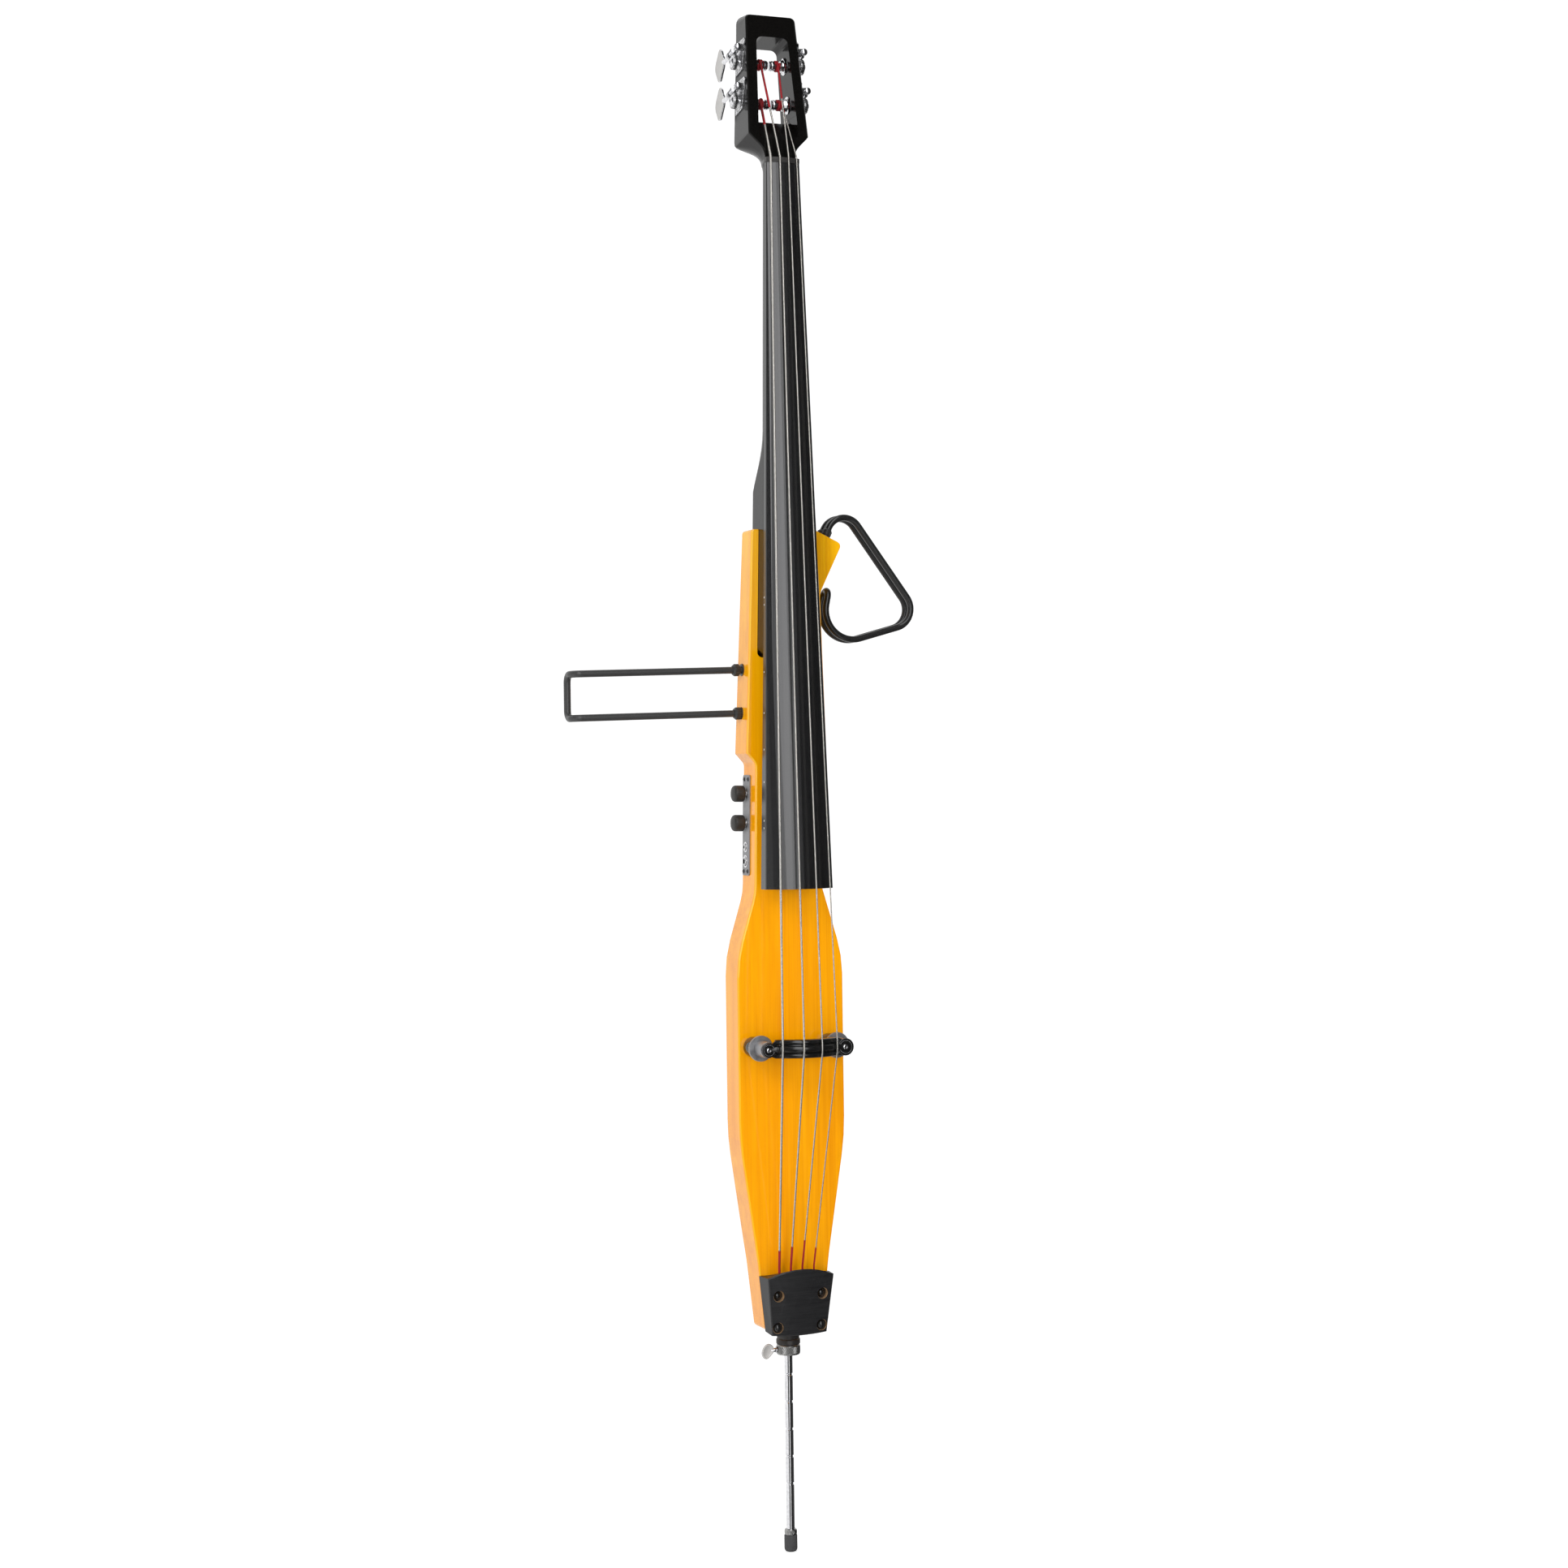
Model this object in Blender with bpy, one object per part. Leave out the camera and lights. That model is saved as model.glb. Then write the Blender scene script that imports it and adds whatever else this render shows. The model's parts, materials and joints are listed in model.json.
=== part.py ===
"""Electric double bass with a slim solid body, four strings and a spike.

Metres, +Z up. X runs to the right seen from the front, the front faces -Y, and
the origin is the centre of the rubber tip's foot, on the axis of the spike.
"""

import math

import bmesh
import bpy
from mathutils import Matrix, Vector

# Clearances
GAP = 0.0003
SLIDE_GAP = 0.0005
STRING_GAP = 0.0010
BEAM_GAP = 0.0016
BORE_END_GAP = 0.004
CHANNEL_GAP = 0.0008

# How far a cutter reaches past the surface that it opens
MARGIN = 0.010

# Body
BODY_FOOT_Z = 0.2715
BODY_TOP_Z = 1.229
FRONT_Y = -0.022
BACK_Y = 0.022
TOP_BACK_Y = 0.012
BACK_TAPER_Z = 0.880
FOOT_BACK_Y = 0.017
BACK_RISE_Z = 0.380
BODY_EDGE = 0.0035
FOOT_HALF_WIDTH = 0.0375
TAPER_HALF_WIDTH = 0.0453
TAPER_Z = 0.352
BASS_LOWER_HALF_WIDTH = 0.0666
TREBLE_LOWER_HALF_WIDTH = 0.0685
LOWER_FOOT_Z = 0.500
HIP_Z = 0.717
BASS_WAIST_Z = 0.794
TREBLE_WAIST_Z = 0.808
BASS_WAIST_HALF_WIDTH = 0.0432
TREBLE_WAIST_HALF_WIDTH = 0.0413
WAIST_TOP_HALF_WIDTH = 0.0401
STEP_FOOT_Z = 0.9487
STEP_TOP_Z = 0.9612
BASS_UPPER_HALF_WIDTH = 0.0514
TREBLE_UPPER_HALF_WIDTH = 0.0520
TOP_HALF_WIDTH = 0.0413
HORN_NOTCH = (0.0460, 1.1528)
HORN_TIP = (0.0755, 1.2130)

# Strings, from the bass side to the treble side
SCALE_LENGTH = 1.060
BRIDGE_Z = 0.6115
NUT_Z = BRIDGE_Z + SCALE_LENGTH
STRING_NAMES = ("e", "a", "d", "g")
STRING_RADII = (0.00135, 0.00115, 0.00095, 0.0008)
NUT_SPACING = 0.0111
BRIDGE_SPACING = 0.023
BRIDGE_STRING_SHIFT = 0.0011
TAIL_SPACING = 0.0148
TAIL_STRING_SHIFT = 0.0005
OUTER_BRIDGE_HEIGHT = 0.0610
INNER_BRIDGE_HEIGHT = 0.0710
TAIL_STRING_HEIGHT = 0.0083

# Neck and fingerboard
NUT_HALF_WIDTH = 0.0211
BOARD_END_Z = 0.7997
BOARD_END_HALF_WIDTH = 0.0428
BOARD_NUT_EDGE_Y = -0.0347
BOARD_END_EDGE_Y = -0.0579
BOARD_NUT_SIDE = 0.0065
BOARD_HEEL_SIDE = 0.0092
BOARD_END_SIDE = 0.0158
BOARD_RADIUS = 0.065
NUT_LIFT = 0.0008
NUT_LENGTH = 0.006
HEEL_FOOT_Z = 1.076
HEEL_SHOULDER_Z = 1.275
HEEL_CURVE = 0.070
HEEL_BACK_Y = 0.0028
HEEL_CORNER = 0.012
HEEL_ROUND = 0.004
POCKET_CORNER = 0.006
NECK_DEPTH = 0.0228
NECK_EDGE = 0.0004
SHAFT_ROUND_SHARE = 0.97
TRUSS_ROD_WIDTH = 0.006
TRUSS_ROD_DEPTH = 0.009
TRUSS_ROD_FOOT_Z = HEEL_FOOT_Z + 0.044
TRUSS_ROD_TOP_Z = NUT_Z - 0.0315
NECK_BOLT_Z = (HEEL_FOOT_Z + 0.036, HEEL_FOOT_Z + 0.116)
NECK_BOLT_RADIUS = 0.003
NECK_WASHER_RADIUS = 0.0075
NECK_WASHER_SEAT = 0.003
NECK_BOLT_REACH = 0.020

# Headstock, with its heights taken from the nut
HEAD_PITCH = math.radians(9.1)
HEAD_FOOT_Z = NUT_Z - 0.0215
THROAT_Z = NUT_Z + 0.0116
HEAD_WIDE_Z = NUT_Z + 0.0298
HEAD_TOP_Z = NUT_Z + 0.1785
THROAT = 0.0197
HEAD_WIDE = 0.0383
HEAD_NARROW = 0.0318
THROAT_ROUND = 0.018
HEAD_WIDE_ROUND = 0.003
FLARE_Z = NUT_Z - 0.0075
FLARE_ROUND = 0.022
FLARE_ROUND_SHARE = 0.60
FLARE_CORNER_Z = (NUT_Z - 0.0155, NUT_Z - 0.0015)
HEAD_BACK_Z = NUT_Z + 0.0210
HEAD_BACK_Y = 0.0305
HEAD_BACK_ROUND = 0.014
HEAD_BACK_TOP_Y = 0.0352
HEAD_CORNER_Z = (NUT_Z + 0.0080, NUT_Z + 0.0265)
HEAD_EDGE = 0.0016
HEAD_ROUND = 0.0025
HEAD_TOP_CORNER = 0.005
HEAD_TOP_PITCH = math.radians(-6.5)
HEAD_TOP_BACK_ROUND = 0.008
SLOT_TOP_Z = NUT_Z + 0.1517
SLOT_FOOT_Z = NUT_Z + 0.0518
SLOT_RAMP_Z = NUT_Z + 0.0245
SLOT_TOP_ROUND = 0.008
SLOT_FOOT_ROUND = 0.003
RAMP_ROUND = 0.007
RAMP_LIP = 0.004
RAMP_DEPTH = 0.030
CHEEK = 0.0130

# Tuners, in a frame whose x points out of the cheek, y backwards and z up the head
POST_Z = (NUT_Z + 0.0740, NUT_Z + 0.1220)
POST_DEPTH = (0.0241, 0.0207)
POST_RADIUS = 0.0044
POST_FLANGE_RADIUS = 0.0062
POST_TIP_X = 0.0012
POST_WIND_X = (0.0138, 0.0115)
WIND_START = math.radians(20)
WORM_STANDOFF = 0.0090
WORM_PITCH = 0.0028
WORM_TURNS = 4
WORM_ROOT = 0.0032
WORM_TIP = 0.0046
WHEEL_TEETH = 20
WHEEL_TIP = 0.0094
WHEEL_ROOT = 0.0082
WHEEL_THICKNESS = 0.0050
MESH_GAP = 0.0006
WORM_LIFT = WHEEL_TIP + WORM_ROOT + MESH_GAP
PLATE_THICKNESS = 0.0013
PLATE_FRONT = 0.0131
PLATE_BACK = 0.0164
PLATE_FOOT = 0.0118
PLATE_TOP = 0.0279
PLATE_FLAP_FRONT = 0.0200
PLATE_FLAP_FOOT = 0.0153
PLATE_NARROW_Z = 0.0047
EAR_FRONT = -0.0125
EAR_BACK = 0.0115
EAR_THICKNESS = 0.0035
EAR_RADIUS = 0.0044
SHAFT_RADIUS = 0.0025
SHAFT_CAP_RADIUS = 0.0034
KEY_START = 0.0325
KEY_LENGTH = 0.0308
KEY_HEIGHT = 0.0408
KEY_RISE = 0.0017
KEY_LEAN = math.radians(8)
KEY_THICKNESS = 0.0028
KEY_ROOT = 0.0078
KEY_LOBE = 0.07

# Tail block
TAIL_FOOT_Z = BODY_FOOT_Z
TAIL_TOP_Z = 0.338
TAIL_CROWN = 0.0090
TAIL_SAG = 0.0018
TAIL_UNDERCUT = 0.0032
TAIL_FOOT_HALF_WIDTH = 0.0376
TAIL_TOP_HALF_WIDTH = 0.0447
TAIL_DRAFT = 0.0027
TAIL_EDGE = 0.0012
TAIL_FOOT_HEIGHT = 0.0160
TAIL_TOP_HEIGHT = 0.0240
TAIL_BULGE = 0.0030
TAIL_SCREW_X = 0.0278
TAIL_SCREW_Z = (0.2775, 0.3158)
TAIL_SCREW_HEAD = 0.0045
TAIL_SCREW_SHANK = 0.0024
TAIL_SCREW_DEPTH = 0.020
TAIL_COUNTERBORE = 0.0070
TAIL_SEAT_HEIGHT = 0.0145
BALL_RADIUS = 0.0030
BALL_Z = 0.3275

# Spike
SPIKE_RADIUS = 0.005
SPIKE_TOP_Z = 0.330
SPIKE_TRAVEL = 0.200
SPIKE_GROOVES = 5
SPIKE_GROOVE_PITCH = 0.0329
SPIKE_GROOVE_TOP_Z = 0.2133
TIP_RADIUS = 0.0079
TIP_HEIGHT = 0.0205
FERRULE_TOP_Z = 0.027
FERRULE_RADIUS = 0.0077
PLUG_RADIUS = 0.0137
PLUG_FLANGE_RADIUS = 0.0145
PLUG_SLEEVE_RADIUS = 0.011
PLUG_SLEEVE_LENGTH = 0.040
PLUG_FOOT_Z = 0.2497
PLUG_FLANGE_Z = 0.2566
COLLAR_FOOT_Z = 0.2377
COLLAR_RADIUS = 0.0147
THUMB_SHANK_RADIUS = 0.0025
THUMB_START_X = 0.0185
THUMB_LENGTH = 0.0165
THUMB_HEIGHT = 0.0215

# Controls on the bass side of the waist
PANEL_Y = 0.0062
PANEL_WIDTH = 0.0225
PANEL_FOOT_Z = 0.815
PANEL_TOP_Z = 0.9355
PANEL_THICKNESS = 0.0012
PANEL_CORNER = 0.003
KNOB_Z = (0.8777, 0.913)
KNOB_RADIUS = 0.0100
KNOB_LENGTH = 0.0154
KNOB_LIFT = 0.003
KNOB_SHAFT_RADIUS = 0.003
OUTPUT_JACK_Z = 0.832
PHONES_JACK_Z = 0.849
OUTPUT_JACK_BORE = 0.0033
PHONES_JACK_BORE = 0.0019
OUTPUT_JACK_DEPTH = 0.022
PHONES_JACK_DEPTH = 0.014
JACK_WALL = 0.0013
CAVITY_BASS_X = -0.031
CAVITY_TREBLE_X = 0.026
CAVITY_MARGIN = 0.008
CAVITY_LEDGE = 0.004
BOARD_INSET = 0.006
BOARD_WIDTH = 0.016
BOARD_THICKNESS = 0.0016
POT_RADIUS = 0.0062
POT_HEIGHT = 0.0065
CAVITY_FRONT_Y = -0.009
COVER_THICKNESS = 0.0025
COVER_LIP = 0.005
COVER_CORNER = 0.005

# Bridge
STUD_X = 0.0485
STUD_BASE_RADIUS = 0.0123
STUD_BASE_HEIGHT = 0.0215
STUD_THREAD_RADIUS = 0.004
STUD_DEPTH = 0.024
WHEEL_HEIGHT = 0.0250
BRIDGE_WHEEL_RADIUS = 0.0155
BRIDGE_WHEEL_THICKNESS = 0.004
BRIDGE_WHEEL_HUB = 0.0092
BOSS_RADIUS = (0.0086, 0.0103)
BOSS_BACK_HEIGHT = 0.0525
BOSS_FRONT_HEIGHT = 0.0560
BEAM_WIDTH = 0.0222
BEAM_LIFT = 0.0007
BEAM_DEPTH = 0.013
BEAM_UNDER_HEIGHT = 0.0465
BEAM_HALF_LENGTH = 0.0385
BRIDGE_BOLT_HEAD = 0.0035
PICKUP_THICKNESS = 0.0015
BRIDGE_DROP = 0.0025

# Left brace
BRACE_Y = 0.0
BRACE_Z = 1.0355
BRACE_SPREAD = 0.052
BRACE_DROOP = math.radians(1.4)
BRACE_RADIUS = 0.0042
BRACE_REACH = 0.2595
BRACE_INSERTED = 0.038
BRACE_TRAVEL_IN = 0.035
BRACE_BACK = 0.023
BRACE_BEND = 0.010
BRACE_SOCKET_RADIUS = 0.0073
BRACE_SOCKET_DEPTH = 0.024
BRACE_NUT_RADIUS = 0.0074
BRACE_NUT_LENGTH = 0.008
BRACE_NUT_LOOSE = 0.003

# Body rest
REST_Y = -0.0048
REST_SPREAD = 0.0164
REST_RADIUS = 0.0040
REST_FOOT_X = 0.0565
REST_RISE = 0.0494
REST_CROOK = 0.0222
REST_CORNERS = ((0.1836, 1.1224, 0.0237), (0.0460, 1.0845, 0.0350))
REST_END = (0.0588, 1.1492)
REST_INSERTED = 0.026
REST_SOCKET_RADIUS = 0.0057
REST_SOCKET_DEPTH = 0.012
REST_NUT_RADIUS = 0.0060
REST_NUT_LENGTH = 0.0085
NUT_SEAT = 0.0015


def clear_scene():
    for item in list(bpy.data.objects):
        bpy.data.objects.remove(item)


def material(name, colour, roughness, metallic=0.0):
    """A Principled material, made once for each name."""
    made = bpy.data.materials.get(name)
    if made:
        return made
    made = bpy.data.materials.new(name)
    made.use_nodes = True
    shader = made.node_tree.nodes["Principled BSDF"]
    shader.inputs["Base Color"].default_value = (*colour, 1.0)
    shader.inputs["Roughness"].default_value = roughness
    shader.inputs["Metallic"].default_value = metallic
    return made


def maple():
    return material("amber maple", (0.90, 0.42, 0.03), 0.25)


def black_lacquer():
    return material("black satin lacquer", (0.015, 0.015, 0.016), 0.40)


def black_metal():
    return material("black painted metal", (0.02, 0.02, 0.02), 0.35, 0.6)


def chrome():
    return material("chrome", (0.80, 0.80, 0.82), 0.12, 1.0)


def black_plastic():
    return material("black plastic", (0.02, 0.02, 0.02), 0.45)


def rubber():
    return material("black rubber", (0.02, 0.02, 0.02), 0.80)


# Shape helpers


def smooth_steps(angle):
    return max(2, math.ceil(abs(angle) / math.radians(20)))


def fillet_path(corners, dimensions=2):
    """Points of a path whose corners are (position..., radius), rounded by arcs."""
    points = []
    for index, corner in enumerate(corners):
        radius = corner[dimensions]
        here = Vector(corner[:dimensions])
        if radius == 0:
            points.append(here)
            continue
        before = Vector(corners[index - 1][:dimensions])
        after = Vector(corners[(index + 1) % len(corners)][:dimensions])
        arriving = (here - before).normalized()
        leaving = (after - here).normalized()
        turn = arriving.angle(leaving)
        reach = radius * math.tan(turn / 2)
        start = here - arriving * reach
        inward = (leaving - arriving * arriving.dot(leaving)).normalized()
        centre = start + inward * radius
        steps = smooth_steps(turn)
        for step in range(steps + 1):
            angle = turn * step / steps
            points.append(centre + radius * (math.sin(angle) * arriving - math.cos(angle) * inward))
    return points


def mesh_of(shape):
    """The bmesh as a mesh, with its faces turned outwards."""
    bmesh.ops.recalc_face_normals(shape, faces=shape.faces)
    made = bpy.data.meshes.new("shape")
    shape.to_mesh(made)
    shape.free()
    return made


def prism(outline, plane, low, high):
    """A 2-D outline in the plane XZ, YZ or XY, extruded along the third axis."""
    shape = bmesh.new()

    def place(point, depth):
        if plane == "XZ":
            return (point[0], depth, point[1])
        if plane == "YZ":
            return (depth, point[0], point[1])
        return (point[0], point[1], depth)

    near = [shape.verts.new(place(point, low)) for point in outline]
    far = [shape.verts.new(place(point, high)) for point in outline]
    shape.faces.new(near)
    shape.faces.new(reversed(far))
    for index in range(len(outline)):
        following = (index + 1) % len(outline)
        shape.faces.new((near[index], near[following], far[following], far[index]))
    return mesh_of(shape)


def box(low, high):
    corners = [(low[0], low[1]), (high[0], low[1]), (high[0], high[1]), (low[0], high[1])]
    return prism(corners, "XY", low[2], high[2])


def loft(rings):
    """Closed rings of as many points each, joined in turn and capped at both ends."""
    shape = bmesh.new()
    placed = [[shape.verts.new(point) for point in ring] for ring in rings]
    shape.faces.new(placed[0])
    shape.faces.new(reversed(placed[-1]))
    for lower, upper in zip(placed, placed[1:]):
        for index in range(len(lower)):
            following = (index + 1) % len(lower)
            shape.faces.new((lower[index], lower[following], upper[following], upper[index]))
    return mesh_of(shape)


def turned(profile, sides):
    """A solid turned about Z from (radius, height) points; radius 0 closes it on the axis."""
    shape = bmesh.new()
    rings = []
    for radius, height in profile:
        if radius == 0:
            rings.append([shape.verts.new((0, 0, height))])
            continue
        angles = [2 * math.pi * side / sides for side in range(sides)]
        rings.append(
            [shape.verts.new((radius * math.cos(a), radius * math.sin(a), height)) for a in angles]
        )
    hollow = all(len(ring) > 1 for ring in rings)
    pairs = list(zip(rings, rings[1:]))
    if hollow:
        pairs.append((rings[-1], rings[0]))
    for lower, upper in pairs:
        for side in range(sides):
            following = (side + 1) % sides
            corners = [lower[side % len(lower)], lower[following % len(lower)]]
            corners += [upper[following % len(upper)], upper[side % len(upper)]]
            unique = list(dict.fromkeys(corners))
            shape.faces.new(unique)
    return mesh_of(shape)


def moved(mesh, matrix):
    mesh.transform(matrix)
    if matrix.determinant() < 0:
        mesh.flip_normals()
    return mesh


def axis_turned(profile, sides, point, direction):
    """A turned solid whose height runs from a point along a direction."""
    turn = Vector(direction).to_track_quat("Z", "Y").to_matrix().to_4x4()
    return moved(turned(profile, sides), Matrix.Translation(point) @ turn)


def cylinder_between(radius, sides, start, end):
    reach = Vector(end) - Vector(start)
    profile = [(0, 0), (radius, 0), (radius, reach.length), (0, reach.length)]
    return axis_turned(profile, sides, start, reach)


def combined(mesh, operation, others):
    """The mesh after Boolean operations with the others, which are used up."""
    holder = bpy.data.objects.new("holder", mesh)
    bpy.context.scene.collection.objects.link(holder)
    helpers = []
    for other in others:
        helper = bpy.data.objects.new("helper", other)
        helper.hide_render = True
        helper.display_type = "WIRE"
        bpy.context.scene.collection.objects.link(helper)
        helpers.append(helper)
        step = holder.modifiers.new("step", "BOOLEAN")
        step.operation = operation
        step.solver = "EXACT"
        step.object = helper
    bpy.context.view_layer.update()
    graph = bpy.context.evaluated_depsgraph_get()
    result = bpy.data.meshes.new_from_object(holder.evaluated_get(graph))
    for item in (holder, *helpers):
        bpy.data.objects.remove(item)
    return result


def cut(mesh, *cutters):
    return combined(mesh, "DIFFERENCE", cutters)


def joined(mesh, *others):
    return combined(mesh, "UNION", others)


def bevelled(mesh, width, segments, angle):
    """The mesh with a Bevel on each edge sharper than the angle in degrees."""
    holder = bpy.data.objects.new("holder", mesh)
    bpy.context.scene.collection.objects.link(holder)
    step = holder.modifiers.new("edge", "BEVEL")
    step.width = width
    step.segments = segments
    step.limit_method = "ANGLE"
    step.angle_limit = math.radians(angle)
    bpy.context.view_layer.update()
    graph = bpy.context.evaluated_depsgraph_get()
    result = bpy.data.meshes.new_from_object(holder.evaluated_get(graph))
    bpy.data.objects.remove(holder)
    return result


def add(name, mesh, finish, origin=(0, 0, 0)):
    """An object with its own origin, whose mesh was made in world places."""
    mesh.transform(Matrix.Translation(-Vector(origin)))
    mesh.name = name
    mesh.materials.clear()
    mesh.materials.append(finish)
    mesh.shade_smooth()
    mesh.set_sharp_from_angle(angle=math.radians(32))
    item = bpy.data.objects.new(name, mesh)
    item.location = origin
    bpy.context.scene.collection.objects.link(item)
    return item


def add_rod(name, points, radius, finish, origin=(0, 0, 0), roundness=3):
    """A bent rod or a string: a curve through the points with a round section."""
    curve = bpy.data.curves.new(name, "CURVE")
    curve.dimensions = "3D"
    curve.bevel_depth = radius
    curve.bevel_resolution = roundness
    curve.use_fill_caps = True
    spline = curve.splines.new("POLY")
    spline.points.add(len(points) - 1)
    for target, point in zip(spline.points, points):
        target.co = (*(Vector(point) - Vector(origin)), 1.0)
    curve.materials.append(finish)
    item = bpy.data.objects.new(name, curve)
    item.location = origin
    bpy.context.scene.collection.objects.link(item)
    return item


# Lines that several pieces share


def between(low, high, share):
    return low + (high - low) * share


def spread(low, high, count):
    """Evenly spaced values after the low one, up to the high one."""
    return [between(low, high, step / count) for step in range(1, count + 1)]


def ease(value, start, end):
    """0 up to the start, 1 from the end on, and smooth between them."""
    share = min(1.0, max(0.0, (value - start) / (end - start)))
    return share * share * (3 - 2 * share)


def across_at(path, z):
    """The first coordinate, at height z, of a rising path of (across, z) points."""
    for low, high in zip(path, path[1:]):
        if z <= high[1]:
            return between(low[0], high[0], max(0.0, (z - low[1]) / (high[1] - low[1])))
    return path[-1][0]


def board_share(z):
    return (NUT_Z - z) / (NUT_Z - BOARD_END_Z)


def board_half_width(z):
    return between(NUT_HALF_WIDTH, BOARD_END_HALF_WIDTH, board_share(z))


def board_edge_y(z):
    """Where the fingerboard's playing surface meets its side."""
    return between(BOARD_NUT_EDGE_Y, BOARD_END_EDGE_Y, board_share(z))


def board_rise(x, half):
    """How far the arched playing surface stands over its edges."""
    return math.sqrt(BOARD_RADIUS ** 2 - x * x) - math.sqrt(BOARD_RADIUS ** 2 - half ** 2)


def board_under_y(z):
    """The fingerboard's underside, which the neck is glued to."""
    if z > HEEL_FOOT_Z:
        side = between(BOARD_NUT_SIDE, BOARD_HEEL_SIDE, (NUT_Z - z) / (NUT_Z - HEEL_FOOT_Z))
    else:
        share = (HEEL_FOOT_Z - z) / (HEEL_FOOT_Z - BOARD_END_Z)
        side = between(BOARD_HEEL_SIDE, BOARD_END_SIDE, share)
    return board_edge_y(z) + side


def back_y(z):
    """The body's back, which leans forward from the waist up."""
    share = max(0.0, (z - BACK_TAPER_Z) / (BODY_TOP_Z - BACK_TAPER_Z))
    return between(BACK_Y, TOP_BACK_Y, share)


def head_face_y(z):
    """The headstock's front, which leans back from the nut."""
    return board_under_y(NUT_Z) + GAP + (z - NUT_Z) * math.tan(HEAD_PITCH)


def head_half_width(z):
    """Half the width of the headstock's front above its widest place."""
    share = (z - HEAD_WIDE_Z) / (HEAD_TOP_Z - HEAD_WIDE_Z)
    return between(HEAD_WIDE, HEAD_NARROW, share)


def string_x(spacing, number, shift=0.0):
    return (number - (len(STRING_NAMES) - 1) / 2) * spacing + shift


def bridge_string_y(number):
    height = OUTER_BRIDGE_HEIGHT if number in (0, 3) else INNER_BRIDGE_HEIGHT
    return FRONT_Y - height


def rest_axis():
    """Outward direction of the rest's sockets, square to the horn's sloping end."""
    slope = Vector((HORN_TIP[0] - TOP_HALF_WIDTH, 0, HORN_TIP[1] - BODY_TOP_Z)).normalized()
    return Vector((-slope.z, 0, slope.x))


def rest_foot_z():
    """Height of the horn's sloping end where the rest goes in."""
    share = (REST_FOOT_X - TOP_HALF_WIDTH) / (HORN_TIP[0] - TOP_HALF_WIDTH)
    return between(BODY_TOP_Z, HORN_TIP[1], share)


def rest_rows():
    return (REST_Y - REST_SPREAD / 2, REST_Y + REST_SPREAD / 2)


def brace_axis():
    return Vector((-math.cos(BRACE_DROOP), 0, -math.sin(BRACE_DROOP)))


def flank_x(z):
    """The bass flank above the step, as a negative x."""
    share = (BODY_TOP_Z - z) / (BODY_TOP_Z - STEP_TOP_Z)
    return -between(TOP_HALF_WIDTH, BASS_UPPER_HALF_WIDTH, share)


def waist_lean():
    """How far the bass flank of the waist leans from upright."""
    narrowing = BASS_WAIST_HALF_WIDTH - WAIST_TOP_HALF_WIDTH
    return math.atan(narrowing / (STEP_FOOT_Z - BASS_WAIST_Z))


def control_middle_z():
    return (PANEL_FOOT_Z + PANEL_TOP_Z) / 2


def control_frame():
    """Places the controls, made round the middle of their panel with the flank at x = 0."""
    lean = waist_lean()
    middle = control_middle_z()
    flank = -BASS_WAIST_HALF_WIDTH + (middle - BASS_WAIST_Z) * math.tan(lean)
    return Matrix.Translation((flank, PANEL_Y, middle)) @ Matrix.Rotation(lean, 4, "Y")


def brace_feet():
    """Where the two brace legs cross the flank, the upper one first."""
    rows = (BRACE_Z + BRACE_SPREAD / 2, BRACE_Z - BRACE_SPREAD / 2)
    return [Vector((flank_x(z), BRACE_Y, z)) for z in rows]


# Body


def body_outline():
    corners = (
        (-FOOT_HALF_WIDTH, BODY_FOOT_Z, 0.006),
        (FOOT_HALF_WIDTH, BODY_FOOT_Z, 0.006),
        (TAPER_HALF_WIDTH, TAPER_Z, 0.400),
        (TREBLE_LOWER_HALF_WIDTH, LOWER_FOOT_Z, 0.300),
        (TREBLE_LOWER_HALF_WIDTH, HIP_Z, 0.150),
        (TREBLE_WAIST_HALF_WIDTH, TREBLE_WAIST_Z, 0.070),
        (WAIST_TOP_HALF_WIDTH, STEP_FOOT_Z, 0.008),
        (TREBLE_UPPER_HALF_WIDTH, STEP_TOP_Z, 0.002),
        (*HORN_NOTCH, 0.020),
        (*HORN_TIP, 0.006),
        (TOP_HALF_WIDTH, BODY_TOP_Z, 0.010),
        (-TOP_HALF_WIDTH, BODY_TOP_Z, 0.004),
        (-BASS_UPPER_HALF_WIDTH, STEP_TOP_Z, 0.002),
        (-WAIST_TOP_HALF_WIDTH, STEP_FOOT_Z, 0.008),
        (-BASS_WAIST_HALF_WIDTH, BASS_WAIST_Z, 0.080),
        (-BASS_LOWER_HALF_WIDTH, HIP_Z, 0.150),
        (-BASS_LOWER_HALF_WIDTH, LOWER_FOOT_Z, 0.300),
        (-TAPER_HALF_WIDTH, TAPER_Z, 0.400),
    )
    return fillet_path(corners)


def heel_pocket():
    """The neck's pocket: the heel's own outline, a clearance wider, open at the top."""
    top = BODY_TOP_Z + MARGIN
    corners = (
        (-board_half_width(HEEL_FOOT_Z) - GAP, HEEL_FOOT_Z - GAP, POCKET_CORNER),
        (board_half_width(HEEL_FOOT_Z) + GAP, HEEL_FOOT_Z - GAP, POCKET_CORNER),
        (board_half_width(top) + GAP, top, 0),
        (-board_half_width(top) - GAP, top, 0),
    )
    return prism(fillet_path(corners), "XZ", FRONT_Y - MARGIN, HEEL_BACK_Y + GAP)


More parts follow.
